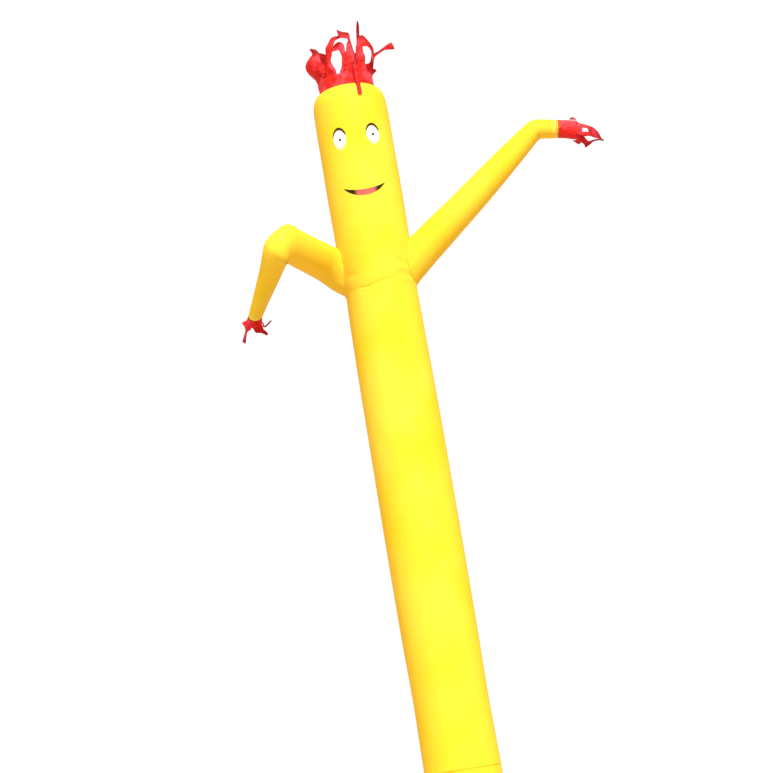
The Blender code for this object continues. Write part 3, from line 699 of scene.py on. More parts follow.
def make_armhole(rings):
    """Seam between a sleeve and the tube, with the push and the droop at each of its points."""
    places = ring_places(rings)
    starts, points, pushes, flat, droops = [], [], [], [], []
    for i in range(SLEEVE_STEPS):
        turn = 2 * math.pi * i / SLEEVE_STEPS
        start = sleeve_start(rings, places, turn)
        ring = ring_at(rings, places, start)
        point = ring_point(ring, turn)
        sleeve_out = (ring_point(ring, turn, 0.01) - point).normalized()
        tube_out = Vector((point.x, point.y, 0.0)).normalized()
        starts.append(start)
        points.append(point)
        pushes.append((tube_out + sleeve_out) * SEAM_PUSH)
        droops.append(sleeve_out)
        around = math.degrees(math.atan2(point.y, point.x))
        flat.append((around, point.z))
    lengths = [0.0]
    for a, b in zip(points, points[1:] + points[:1]):
        lengths.append(lengths[-1] + (b - a).length)
    lowest = min(point.z for point in points)
    depth = SLEEVE_DROOP if rings[0].x < 0 else 0.0
    for i, point in enumerate(points):
        droops[i] = droops[i] * depth * smooth(lowest + DROOP_HEIGHT - point.z, 0.0, DROOP_HEIGHT)
        pushes[i] += droops[i]
    return Armhole(starts, points, pushes, flat, lengths, droops)


def nearest_on_seam(hole, point):
    """Distance to the armhole's seam, the push there, and the distance round the seam."""
    best = None
    count = len(hole.points)
    for i in range(count):
        a = hole.points[i]
        b = hole.points[(i + 1) % count]
        run = b - a
        t = min(1.0, max(0.0, (point - a).dot(run) / run.length_squared))
        distance = (a + run * t - point).length
        if best is None or distance < best[0]:
            best = (distance, i, t)
    distance, i, t = best
    push = hole.pushes[i].lerp(hole.pushes[(i + 1) % count], t)
    around = hole.length[i] * (1 - t) + hole.length[i + 1] * t
    return distance, push, around


def inside_hole(hole, angle, height):
    """Whether a place on the tube lies in the armhole, by counting crossings."""
    inside = False
    count = len(hole.flat)
    for i in range(count):
        a1, h1 = hole.flat[i]
        a2, h2 = hole.flat[(i + 1) % count]
        a1 = a1 - 360 if a1 - angle > 180 else a1 + 360 if angle - a1 > 180 else a1
        a2 = a2 - 360 if a2 - angle > 180 else a2 + 360 if angle - a2 > 180 else a2
        if (h1 > height) != (h2 > height):
            cross = a1 + (a2 - a1) * (height - h1) / (h2 - h1)
            if angle < cross:
                inside = not inside
    return inside


def hole_folds(around, distance, size):
    """Folds that fan out from an armhole."""
    wide = rough(around * 17, 3.1, distance * 4)
    fine = rough(around * 41, 7.7, distance * 6)
    return size * math.exp(-distance / 0.045) * (0.6 * wide + 0.4 * fine)


def push_from_holes(point, angle, holes):
    """Moves a point of the tube near an armhole out to the sleeve's root."""
    moved = point.copy()
    deep = 0.0
    for hole in holes:
        centre = hole.points[0].lerp(hole.points[SLEEVE_STEPS // 2], 0.5)
        if (centre - point).length > HOLE_REACH:
            continue
        distance, push, around = nearest_on_seam(hole, point)
        inside = inside_hole(hole, angle, point.z)
        if inside:
            deep = max(deep, distance)
        out = Vector((point.x, point.y, 0.0)).normalized()
        moved += push * math.exp(-((distance / TUBE_FADE) ** 2) * (4.0 if inside else 1.0))
        if not inside:
            moved += out * hole_folds(around, distance, 0.0032)
    return moved, deep


def sleeve_folds(turn, at, bends):
    """Cross folds pressed into the inner side of each bend."""
    out = 0.0
    for place, reach, size, pitch in bends:
        if abs(at - place) < 3 * reach:
            inner = smooth(-math.cos(turn), -0.2, 0.9)
            wave = math.sin(2 * math.pi * (at - place) / pitch + 2.2 * rough(turn * 1.3, at * 9))
            out += size * hump(at, place, reach) * inner * wave
    return out


def sleeve_grid(rings, hole, bends):
    """Rows from the armhole's seam to the wrist."""
    places = ring_places(rings)
    root = max(hole.starts) + ROOT_LENGTH
    ends = places[-1]
    count = int((ends - root) / SLEEVE_ROW) + 1
    rows, spans = [], []
    for r in range(SLEEVE_ROOT_ROWS + count + 1):
        row, span = [], []
        for i in range(SLEEVE_STEPS + 1):
            k = i % SLEEVE_STEPS
            turn = 2 * math.pi * k / SLEEVE_STEPS
            if r <= SLEEVE_ROOT_ROWS:
                share = (r / SLEEVE_ROOT_ROWS) ** 1.4
                at = hole.starts[k] + (root - hole.starts[k]) * share
            else:
                at = root + (ends - root) * (r - SLEEVE_ROOT_ROWS) / count
            span.append((i / SLEEVE_STEPS * SLEEVE_GIRTH, at))
            if i == SLEEVE_STEPS:
                continue
            from_seam = at - hole.starts[k]
            x, y = math.cos(turn), math.sin(turn)
            out = 0.0012 * rough(x * 1.5, y * 1.5, at * 4 + rings[0].x * 9)
            out += sleeve_folds(turn, at, bends)
            out += hole_folds(hole.length[k], from_seam, 0.0030) * smooth(from_seam, 0.0, 0.01)
            out += seam_gathers(x * 0.10, y * 0.10, ends - at, 0.0022) * smooth(ends - at, 0.0, 0.012)
            point = ring_point(ring_at(rings, places, at), turn, out)
            point += (hole.pushes[k] - hole.droops[k]) * hump(from_seam, 0.0, SLEEVE_FADE)
            point += hole.droops[k] * hump(from_seam, 0.0, DROOP_FADE)
            row.append(point)
        rows.append(row)
        spans.append(span)
    return rows, spans


# Collar, hair and hands

# Columns of points to a step, and the flat distances between columns and between rows
STEP_COLUMNS = 3
STRIP_COLUMN = 0.008
STRIP_ROW = 0.006
COLLAR_STEPS = 192
COLLAR_ROWS = 22
CUFF_ROWS = 16

# Stands for the distance to a cut edge on the band, which has none near
FAR_FROM_EDGE = 0.05

# Rise of the rows of the uncut band under the strips
BAND_RISES = (0.0, 0.006, 0.012)


def collar_relief(turn, rise):
    """Soft upright folds in the collar, deeper towards the hair."""
    x = math.cos(turn)
    y = math.sin(turn)
    folds = 0.0075 * rise * rough(x * 2.1 + 4, y * 2.1, rise * 0.7)
    folds += 0.0032 * (0.3 + 0.7 * rise) * rough(x * 6.0, y * 6.0 + 2, rise * 1.2)
    left = hump(math.degrees(turn), -148, 15) * 0.004 * smooth(rise, 0.1, 0.9)
    return folds - left


def collar_point(angle, height):
    turn = math.radians(angle)
    share = 0.5 - 0.5 * math.cos(turn)
    left = read_table(COLLAR, "height", "left", height)
    right = read_table(COLLAR, "height", "right", height)
    radius = right + (left - right) * share ** 2
    rise = max(0.0, (height - HEAD_TOP) / (BAND_TOP - HEAD_TOP))
    radius += 0.003 * rise * math.sin(7 * turn + 0.6)
    radius += collar_relief(turn if turn <= math.pi else turn - 2 * math.pi, rise)
    return Vector((radius * math.cos(turn), radius * math.sin(turn), height))


def cut_point(cut, share):
    turn = math.radians(cut.turn)
    tip = math.radians(cut.tip)
    across = Vector((math.cos(turn) * math.cos(tip), math.sin(turn) * math.cos(tip), math.sin(tip)))
    return Vector((cut.x, cut.y, cut.z)) + across * cut.width * (share - 0.5)


def strip_surface(strip, edge_point, columns, spacing, crumple, seed):
    """Rows of points of one strip and each point's distance to the strip's edges."""
    shares = [i / (columns - 1) for i in range(columns)]
    lines = []
    for share in shares:
        step = strip.first + (strip.last - strip.first) * share
        lines.append([edge_point(step)] + [cut_point(cut, share) for cut in strip.cuts])
    middle = lines[columns // 2]
    places = [0.0]
    for a, b in zip(middle, middle[1:]):
        places.append(places[-1] + (b - a).length)
    length = places[-1]
    count = max(6, int(length / spacing))
    rows, edges = [], []
    for r in range(count + 1):
        at = length * r / count
        row = []
        for line in lines:
            row.append(Vector([between(places, [point[k] for point in line], at) for k in range(3)]))
        width = sum((b - a).length for a, b in zip(row, row[1:]))
        rows.append(row)
        edges.append([min(share * width, (1 - share) * width, length - at) for share in shares])
    free = []
    for r, row in enumerate(rows):
        at = length * r / count
        ahead = rows[min(r + 1, count)]
        behind = rows[max(r - 1, 0)]
        moved = []
        for c, point in enumerate(row):
            across = row[min(c + 1, columns - 1)] - row[max(c - 1, 0)]
            normal = across.cross(ahead[c] - behind[c])
            normal = normal.normalized() if normal.length > 1e-9 else Vector((0, 0, 0))
            width = (row[-1] - row[0]).length
            ramp = smooth(at, 0.004, 0.05)
            cup = 0.16 * width * math.sin(math.pi * shares[c]) * math.sin(2.4 * at / length + seed)
            ripple = crumple * rough(shares[c] * 1.7 + seed * 3.3, at * 34 + seed)
            ripple += 0.45 * crumple * rough(shares[c] * 4.1 + seed, at * 83, 5.0)
            moved.append(point + normal * ramp * (cup + ripple))
        free.append(moved)
    return free, edges


def strip_area(surface):
    """Area of a strip's surface, two triangles to each face."""
    area = 0.0
    for a, b in zip(surface, surface[1:]):
        for i in range(len(a) - 1):
            area += (a[i + 1] - a[i]).cross(b[i] - a[i]).length / 2
            area += (b[i + 1] - b[i]).cross(b[i + 1] - a[i + 1]).length / 2
    return area


def band_area(rows):
    """Area of a closed band, whose faces are nearly even."""
    area = 0.0
    for a, b in zip(rows, rows[1:]):
        for i in range(len(a)):
            area += (a[(i + 1) % len(a)] - a[i]).cross(b[i] - a[i]).length
    return area


def fringe_object(name, strips, bands, steps, material, crumple, strip_shades):
    """Band and strips as one cut sheet, and its area.

    bands are functions for the band's rows, lowest first, and the strips start at the last one.
    The last argument holds each strip's painted shade and that of its end.
    """
    bm = bmesh.new()
    bm.loops.layers.uv.new("cloth")
    edge_layer = bm.verts.layers.float.new("edge")
    strip_shade_layer = bm.verts.layers.float.new("strip_shade")

    def lay(rows, edges, closed, up_start, across_start, strip_shade=(0.0, 0.0)):
        verts, spans = [], []
        for r, (row, edge_row) in enumerate(zip(rows, edges)):
            line = []
            share = r / (len(rows) - 1)
            # Painted shade along the strip, from its own darkness and that of its end
            dark = strip_shade[0] * smooth(share, 0.0, 0.3) + strip_shade[1] * smooth(share, 0.55, 1.0)
            for point, edge in zip(row, edge_row):
                vert = bm.verts.new(point)
                vert[edge_layer] = edge
                vert[strip_shade_layer] = min(1.0, dark)
                line.append(vert)
            verts.append(line)
            up = up_start + r * STRIP_ROW
            spans.append([(across_start + column * STRIP_COLUMN, up) for column in range(len(row) + 1)])
        join_rows(bm, verts, closed, spans)

    count = steps * STEP_COLUMNS
    rows = [[point(i / STEP_COLUMNS) for i in range(count)] for point in bands]
    no_edge = [[FAR_FROM_EDGE] * count for _ in rows]
    lay(rows, no_edge, True, 0.0, 0.0)
    area = band_area(rows)
    for k, strip in enumerate(strips):
        columns = max((strip.last - strip.first) * STEP_COLUMNS + 1, 7)
        surface, edges = strip_surface(strip, bands[-1], columns, STRIP_ROW, crumple, 0.7 * k + 0.4)
        lay(surface, edges, False, 0.02, strip.first * STEP_COLUMNS * STRIP_COLUMN, strip_shades[k])
        area += strip_area(surface)
    return link_object(name, bm, material), area


# Materials

class Nodes:
    """Short calls for a material's node tree."""

    def __init__(self, material):
        self.tree = material.node_tree
        self.shader = self.tree.nodes["Principled BSDF"]
        self.output = self.tree.nodes["Material Output"]

    def new(self, kind, **settings):
        node = self.tree.nodes.new("ShaderNode" + kind)
        for key, value in settings.items():
            setattr(node, key, value)
        return node

    def put(self, value, socket):
        if isinstance(value, (int, float, tuple)):
            socket.default_value = value
        else:
            self.tree.links.new(value, socket)

    def math(self, operation, *values):
        node = self.new("Math", operation=operation)
        for k, value in enumerate(values):
            self.put(value, node.inputs[k])
        return node.outputs[0]

    def ramp(self, value, low, high, start=0.0, end=1.0):
        """Smooth change from start to end as the value goes from low to high."""
        node = self.new("MapRange", interpolation_type="SMOOTHSTEP")
        for k, each in enumerate((value, low, high, start, end)):
            self.put(each, node.inputs[k])
        return node.outputs[0]

    def mix(self, share, first, second):
        node = self.new("Mix", data_type="RGBA", clamp_factor=True)
        self.put(share, node.inputs[0])
        self.put(first, node.inputs[6])
        self.put(second, node.inputs[7])
        return node.outputs[2]

    def tint(self, colour, other, share, strength):
        """Mixes in another colour by a share and a strength."""
        return self.mix(self.math("MULTIPLY", share, strength), colour, other)

    def most(self, values):
        """Greatest of the values."""
        total = values[0]
        for value in values[1:]:
            total = self.math("MAXIMUM", total, value)
        return total

    def cloth_place(self):
        """The flat place on the cloth, in metres: along and up."""
        place = self.new("UVMap", uv_map="cloth").outputs[0]
        parts = self.new("SeparateXYZ")
        self.put(place, parts.inputs[0])
        return place, parts.outputs[0], parts.outputs[1]

    def cloud(self, vector, scale, detail, stretch=(1.0, 1.0, 1.0)):
        """Soft noise from 0 to 1."""
        mapping = self.new("Mapping")
        self.put(vector, mapping.inputs[0])
        mapping.inputs[3].default_value = stretch
        node = self.new("TexNoise")
        self.put(mapping.outputs[0], node.inputs["Vector"])
        node.inputs["Scale"].default_value = scale
        node.inputs["Detail"].default_value = detail
        return node.outputs[0]

    def bumps(self, layers):
        """Chain of bumps, each a height, a strength and a distance in metres."""
        normal = None
        for height, strength, distance in layers:
            node = self.new("Bump")
            node.inputs["Strength"].default_value = strength
            node.inputs["Distance"].default_value = distance
            self.put(height, node.inputs["Height"])
            if normal is not None:
                self.put(normal, node.inputs["Normal"])
            normal = node.outputs[0]
        return normal


def weave_height(n, along, up):
    """Fine threads both ways, with a thicker one every 6 mm."""
    warp = n.math("SINE", n.math("MULTIPLY", along, 2 * math.pi / 0.0011))
    weft = n.math("SINE", n.math("MULTIPLY", up, 2 * math.pi / 0.0011))
    fine = n.math("MULTIPLY", warp, weft)
    cells = [n.math("PINGPONG", value, 0.003) for value in (along, up)]
    grid = n.most([n.ramp(cell, 0.0, 0.00055, 1.0, 0.0) for cell in cells])
    return fine, grid


def stitch_rows(n, across, along, rows):
    """Dashes of thread along lines at the given distances from a seam."""
    dash = n.ramp(n.math("PINGPONG", along, 0.0021), 0.0004, 0.0008)
    lines = []
    for row in rows:
        off = n.math("ABSOLUTE", n.math("SUBTRACT", across, row))
        lines.append(n.math("MULTIPLY", n.ramp(off, 0.0003, 0.0009, 1.0, 0.0), dash))
    return n.most(lines)


def finish_cloth(n, colour, behind, through, layers, rough_value=0.45):
    """Cloth that shows its own colour and glows a little with the light behind it."""
    shader = n.shader
    n.put(colour, shader.inputs["Base Color"])
    shader.inputs["Roughness"].default_value = rough_value
    shader.inputs["Specular IOR Level"].default_value = 0.06
    normal = n.bumps(layers)
    n.put(normal, shader.inputs["Normal"])
    glow = n.new("BsdfTranslucent")
    n.put(behind, glow.inputs["Color"])
    n.put(normal, glow.inputs["Normal"])
    both = n.new("MixShader")
    both.inputs[0].default_value = through
    n.put(shader.outputs[0], both.inputs[1])
    n.put(glow.outputs[0], both.inputs[2])
    n.put(both.outputs[0], n.output.inputs["Surface"])


YELLOW = (0.95, 0.725, 0.062, 1.0)
YELLOW_DEEP = (0.95, 0.67, 0.022, 1.0)
YELLOW_BEHIND = (1.0, 0.50, 0.002, 1.0)
THREAD_YELLOW = (0.80, 0.52, 0.02, 1.0)
OVERLAP_BROWN = (0.42, 0.11, 0.008, 1.0)
HEM_PALE = (0.97, 0.80, 0.10, 1.0)
RED = (0.80, 0.030, 0.022, 1.0)
# Pink of the painted highlights on the red cloth
RED_HIGHLIGHT = (0.92, 0.095, 0.125, 1.0)
RED_BEHIND = (0.95, 0.012, 0.010, 1.0)
# Dark red of the painted shade on the red cloth
RED_SHADE = (0.46, 0.008, 0.006, 1.0)
RED_DARK = (0.15, 0.012, 0.018, 1.0)
DUST = (0.42, 0.28, 0.06, 1.0)
EYE_WHITE = (0.93, 0.92, 0.90, 1.0)
LID_BROWN = (0.060, 0.050, 0.010, 1.0)
PUPIL_BLACK = (0.012, 0.012, 0.012, 1.0)
LIP_RED = (0.60, 0.135, 0.115, 1.0)
LIP_DARK = (0.026, 0.020, 0.002, 1.0)

# Half the tube's girth, where its flat cloth ends at the back seam
TUBE_BACK = 0.7257

# Eyes on the flat cloth of the head: middle, half height, and the pupil's middle
Eye = namedtuple("Eye", "x z half_high pupil_x pupil_z")
EYES = (
    Eye(-0.0980, 5.3495, 0.0715, -0.0960, 5.3470),
    Eye(0.1185, 5.3505, 0.0695, 0.1178, 5.3512),
)


def foot_shade_and_dust(n, colour, place, up):
    """Painted shade and dust: the colour deepens towards the foot, where less light reaches, and dust specks
    lie near the foot.
    """
    colour = n.mix(n.ramp(up, 0.05, 3.4, 0.65, 0.0), colour, YELLOW_DEEP)
    specks = n.ramp(n.cloud(place, 9.0, 5.0), 0.48, 0.80)
    dust = n.math("MULTIPLY", specks, n.ramp(up, 0.0, 0.7, 0.5, 0.0))
    return n.mix(dust, colour, DUST)


def yellow_cloth(name, seams, shaded_foot_and_dust=False, face=False, wrist=None, lapped=False, ring=TUBE_BACK):
    """Yellow nylon; seams are the heights of its stitched ring seams on the flat cloth.

    wrist is a sleeve's length, for the hem at its end, and a lapped sleeve has its red cuff
    drawn up over that end. ring is half the cloth's girth, for the seam at its back; at 0 no
    seam shows and the whole cloth has the deeper colour of one.
    """
    material = new_material(name)
    n = Nodes(material)
    place, along, up = n.cloth_place()
    fine, grid = weave_height(n, along, up)
    blotch = n.cloud(place, 2.3, 3.0)
    colour = n.mix(n.ramp(blotch, 0.30, 0.75), YELLOW, YELLOW_DEEP)
    colour = n.tint(colour, THREAD_YELLOW, grid, 0.10)
    # Painted shade towards the foot, with dust specks
    if shaded_foot_and_dust:
        colour = foot_shade_and_dust(n, colour, place, up)
    threads = [stitch_rows(n, n.math("SUBTRACT", up, seam), along, (0.0035, 0.0095)) for seam in seams]
    back = n.math("SUBTRACT", ring, n.math("ABSOLUTE", along))
    threads.append(stitch_rows(n, back, up, (0.0030, 0.0085)))
    thread = n.most(threads)
    lap = n.ramp(back, 0.0105, 0.0125, 1.0, 0.0)
    colour = n.tint(colour, YELLOW_DEEP, lap, 0.35)
    if wrist is not None:
        left = n.math("SUBTRACT", wrist, up)
        colour = n.tint(colour, HEM_PALE, n.ramp(left, 0.030, 0.036, 1.0, 0.0), 0.75)
        colour = n.tint(colour, OVERLAP_BROWN, n.ramp(left, 0.002, 0.005, 1.0, 0.0), 0.85)
    behind = YELLOW_BEHIND
    if face:
        colour, behind = print_face(n, along, up, (colour, behind))
    colour = n.tint(colour, THREAD_YELLOW, thread, 0.8)
    if lapped:
        # The cuff's red drawn over the sleeve's end, in the dark red of painted shade, as the left hand
        # hangs in shade
        red = n.ramp(n.math("SUBTRACT", wrist, up), 0.010, 0.013, 1.0, 0.0)
        colour = n.mix(red, colour, RED_SHADE)
        behind = n.mix(red, behind, RED_BEHIND)
    creases = n.cloud(place, 16.0, 3.0, (1.0, 0.35, 1.0))
    layers = [
        (creases, 0.35, 0.004),
        (lap, 0.6, 0.0010),
        (grid, 0.30, 0.0003),
        (fine, 0.10, 0.0002),
        (thread, 0.7, 0.0006),
    ]
    finish_cloth(n, colour, behind, 0.30, layers)
    return material


def print_face(n, along, up, colours):
    """Eyes and smile printed on the front of the head, in the cloth's own and its glowing colour."""

    def paint(share, ink):
        return [n.mix(share, colour, ink) for colour in colours]

    def spot(x, z, half_wide, half_high):
        """Distance from an oval's middle, 1 on its rim."""
        a = n.math("POWER", n.math("DIVIDE", n.math("SUBTRACT", along, x), half_wide), 2.0)
        b = n.math("POWER", n.math("DIVIDE", n.math("SUBTRACT", up, z), half_high), 2.0)
        return n.math("SQRT", n.math("ADD", a, b))

    for x, z, half_high, pupil_x, pupil_z in EYES:
        white = spot(x, z, 0.0445, half_high)
        inner_rim = n.math("SUBTRACT", 1.0, n.ramp(up, z - 0.06, z + 0.01, 0.42, 0.07))
        colours = paint(n.ramp(white, inner_rim, 1.04, 1.0, 0.0), EYE_WHITE)
        outer = spot(x, z + 0.002, 0.0490, half_high + 0.0035)
        inner = spot(x - 0.002, z - 0.0125, 0.0450, half_high)
        lid = n.math("MULTIPLY", n.ramp(outer, 0.97, 1.03, 1.0, 0.0), n.ramp(inner, 0.96, 1.02))
        lid = n.math("MULTIPLY", lid, n.ramp(up, z + 0.012, z + 0.032))
        colours = paint(lid, LID_BROWN)
        pupil = spot(pupil_x, pupil_z, 0.0092, 0.0092)
        colours = paint(n.ramp(pupil, 0.75, 1.15, 1.0, 0.0), PUPIL_BLACK)

    across = n.math("DIVIDE", n.math("SUBTRACT", along, 0.007), 0.1400)
    squared = n.math("MULTIPLY", across, across)
    upper = n.math("MULTIPLY_ADD", squared, 0.0335, 5.0085)
    fourth = n.math("MULTIPLY", squared, squared)
    lower = n.math("MULTIPLY_ADD", squared, 0.0600, n.math("MULTIPLY_ADD", fourth, 0.0125, 4.9695))
    under = n.ramp(n.math("SUBTRACT", upper, up), -0.0015, 0.0025)
    over = n.ramp(n.math("SUBTRACT", up, lower), -0.0015, 0.0025)
    mouth = n.math("MULTIPLY", under, over)
    ends = n.ramp(n.math("ABSOLUTE", n.math("SUBTRACT", along, 0.012)), 0.046, 0.078)
    rim = n.ramp(n.math("SUBTRACT", upper, up), 0.001, 0.009, 0.45, 0.0)
    lips = n.mix(n.math("MAXIMUM", ends, rim), LIP_RED, LIP_DARK)
    return paint(mouth, lips)


def red_cloth(name, edged=True, girth=None):
    """Red nylon, edged where strips are cut in it.

    girth is a cuff's, where the sleeve's yellow hem laps over the front of it and a painted highlight turns
    the top of the cuff pink.
    """
    material = new_material(name)
    n = Nodes(material)
    _, along, up = n.cloth_place()
    fine, grid = weave_height(n, along, up)
    where = n.new("TexCoord").outputs["Object"]
    # Painted highlight and painted shade: pink patches for the lit sides and deep-red patches for the shaded
    # sides of the crumples, scattered by noise
    blotch = n.cloud(where, 11.0, 3.0)
    colour = n.mix(n.ramp(blotch, 0.46, 0.66, 0.0, 0.9), RED, RED_HIGHLIGHT)
    deep = n.cloud(where, 17.0, 3.0)
    colour = n.mix(n.ramp(deep, 0.53, 0.68, 0.0, 0.75), colour, RED_SHADE)
    colour = n.tint(colour, RED_DARK, grid, 0.08)
    folds = n.cloud(where, 15.0, 2.0)
    creases = n.cloud(where, 38.0, 4.0)
    layers = [(folds, 0.9, 0.030), (creases, 0.7, 0.009)]
    if edged:
        # Painted shade: each strip is darkened by the share listed for it, more towards its end
        strip_shade = n.new("Attribute", attribute_name="strip_shade").outputs["Fac"]
        colour = n.mix(strip_shade, colour, RED_DARK)
        edge = n.new("Attribute", attribute_name="edge").outputs["Fac"]
        turned = n.ramp(edge, 0.0030, 0.0052, 1.0, 0.0)
        colour = n.tint(colour, RED_DARK, turned, 0.80)
        rows = stitch_rows(n, edge, up, (0.0042,))
        colour = n.tint(colour, RED_DARK, rows, 0.5)
        layers.append((turned, 0.5, 0.0008))
    if girth is not None:
        share = n.math("DIVIDE", along, girth)
        turn = n.math("MULTIPLY", n.math("SUBTRACT", share, 0.75), 2 * math.pi)
        front = n.math("MAXIMUM", n.math("COSINE", turn), 0.0)
        # Painted highlight: pink on the top of the cuff, where the light falls
        high = n.math("COSINE", n.math("MULTIPLY", share, 2 * math.pi))
        colour = n.mix(n.ramp(high, -0.45, 0.35, 0.0, 0.65), colour, RED_HIGHLIGHT)
        past = n.math("SUBTRACT", up, n.math("MULTIPLY", front, 0.014))
        colour = n.mix(n.ramp(past, 0.003, 0.008, 0.9, 0.0), colour, OVERLAP_BROWN)
        colour = n.mix(n.ramp(past, -0.008, -0.004, 0.9, 0.0), colour, HEM_PALE)
    layers += [(grid, 0.30, 0.0003), (fine, 0.10, 0.0002)]
    finish_cloth(n, colour, RED_BEHIND, 0.35, layers, 0.42)
    return material


# Build the pieces

# Reach and spacing of the close rings at a seam, and how far below the next panel each one ends
FINE_AT_SEAM = (0.016, 0.002)
PANEL_GAP = 0.0005


def dress(piece, node, area=None):
    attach(piece, "root")
    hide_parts(node)


def dress_panel(panel, node):
    dress(panel, node)


def build_tube():
    """The tube's three panels; gives back its two armholes."""
    dense = [(0.0, 0.012, 0.003), (HEM_HEIGHT, 0.012, 0.002), (LOWER_SEAM, *FINE_AT_SEAM)]
    rows, spans = tube_grid(0.0, LOWER_SEAM - PANEL_GAP, dense)
    paint = yellow_cloth("lower_leg_nylon", (HEM_HEIGHT - 0.012,), shaded_foot_and_dust=True)
    lower = grid_object("lower_leg_cloth", rows, spans, paint)
    dress_panel(lower, "leg_lower")

    dense = [(LOWER_SEAM, *FINE_AT_SEAM), (WAIST_SEAM, 0.05, 0.003), (WAIST_SEAM, 0.13, 0.007)]
    rows, spans = tube_grid(LOWER_SEAM, WAIST_SEAM - PANEL_GAP, dense, lap=0.0012)
    holes = [make_armhole(ARM_RIGHT), make_armhole(ARM_LEFT)]
    push_rows(rows, holes, WAIST_SEAM - 0.12, WAIST_SEAM + 0.1)
    paint = yellow_cloth("upper_leg_nylon", (LOWER_SEAM,), shaded_foot_and_dust=True)
    upper = grid_object("upper_leg_cloth", rows, spans, paint)
    dress_panel(upper, "leg_upper")

    dense = [(WAIST_SEAM, 0.06, 0.003), (4.58, 0.20, 0.0075), (5.64, 0.08, 0.007), (HEAD_TOP, 0.03, 0.003)]
    rows, spans = tube_grid(WAIST_SEAM, HEAD_TOP, dense)
    deep = push_rows(rows, holes, WAIST_SEAM - 0.1, 4.95)
    paint = yellow_cloth("torso_nylon", (WAIST_SEAM, HEAD_TOP - 0.013), face=True)
    torso = grid_object("torso_cloth", rows, spans, paint)
    cut_holes(torso, rows, deep)
    dress_panel(torso, "torso_head")
    return holes


def push_rows(rows, holes, low, high):
    """Moves the points between two heights out to the sleeves, and says how deep each lies in an armhole."""
    deep = {}
    for r, row in enumerate(rows):
        for i, point in enumerate(row):
            if low < point.z < high:
                row[i], deep[r, i] = push_from_holes(point, tube_angle(i), holes)
    return deep


def cut_holes(torso, rows, deep):
    """Opens the wall inside each armhole, a little short of its seam."""
    bm = bmesh.new()
    bm.from_mesh(torso.data)
    bm.verts.ensure_lookup_table()
    count = len(rows[0])
    inside = {r * count + i for (r, i), depth in deep.items() if depth > CUT_DEPTH}
    gone = [face for face in bm.faces if all(v.index in inside for v in face.verts)]
    bmesh.ops.delete(bm, geom=gone, context="FACES")
    bm.to_mesh(torso.data)
    bm.free()


def build_sleeves(holes):
    right_bends = [(ring_places(ARM_RIGHT)[9], 0.045, 0.0030, 0.030)]
    left_bends = [(ring_places(ARM_LEFT)[8], 0.055, 0.0045, 0.030)]
    sides = (
        ("right", ARM_RIGHT, holes[0], right_bends),
        ("left", ARM_LEFT, holes[1], left_bends),
    )
    for side, rings, hole, bends in sides:
        length = ring_places(rings)[-1]
        rows, spans = sleeve_grid(rings, hole, bends)
        lapped = side == "left"
        paint = yellow_cloth("sleeve_" + side + "_nylon", (), wrist=length, lapped=lapped, ring=0.0)
        sleeve = grid_object("sleeve_" + side + "_cloth", rows, spans, paint)
        dress(sleeve, "arm_" + side, area=surface_area(sleeve))


def build_collar():
    rows, spans = [], []
    for r in range(COLLAR_ROWS + 1):
        height = HEAD_TOP + (COLLAR_TOP - HEAD_TOP) * r / COLLAR_ROWS
        row, span = [], []
        for i in range(COLLAR_STEPS + 1):
            angle = 90 + 360 * i / COLLAR_STEPS
            if i < COLLAR_STEPS:
                row.append(collar_point(angle, height))
            span.append((math.radians(angle - 270) * 0.175, height - HEAD_TOP))
        rows.append(row)
        spans.append(span)
    collar = grid_object("collar_cloth", rows, spans, red_cloth("collar_nylon", edged=False))
    dress(collar, "hair_collar", area=surface_area(collar))


def build_hair():
    def edge(step, rise):
        return collar_point(-180 + 360 * step / HAIR_STEPS, COLLAR_TOP + rise)

    def web(step):
        """Cloth left uncut between the front strips, where they overlap."""
        gaps = (12, 16, 20)
        rise = sum(0.015 * math.sin(math.pi * (step - low)) for low in gaps if low < step < low + 1)
        return edge(step, BAND_TOP - COLLAR_TOP + rise)

    bands = [lambda step, rise=rise: edge(step, rise) for rise in BAND_RISES] + [web]
    paint = red_cloth("hair_nylon")
    hair, area = fringe_object("hair_cloth", HAIR, bands, HAIR_STEPS, paint, 0.0050, HAIR_SHADES)
    dress(hair, "hair_fringe", area=area)


def cuff_shape(rings, sag):
    """Function for the point of a cuff, or past its end, by the step round it and the way along it."""
    places = ring_places(rings)
    last = places[-1]

    def cuff_point(step, at):
        turn = 2 * math.pi * step / FINGER_STEPS
        x, y = math.cos(turn), math.sin(turn)
        share = min(at, last) / last
        out = 0.0050 * share * rough(x * 1.9, y * 1.9, at * 9)
        out += 0.0026 * rough(x * 4.4, y * 4.4 + 3, at * 14) * (0.3 + 0.7 * share)
        out += sag * hump(step % FINGER_STEPS, 10.5, 1.6) * smooth(share, 0.35, 1.0)
        point = ring_point(ring_at(rings, places, at), turn, out)
        if at > last:
            before = ring_point(rings[-2], turn)
            after = ring_point(rings[-1], turn)
            point += (after - before).normalized() * (at - last)
        return point

    return cuff_point


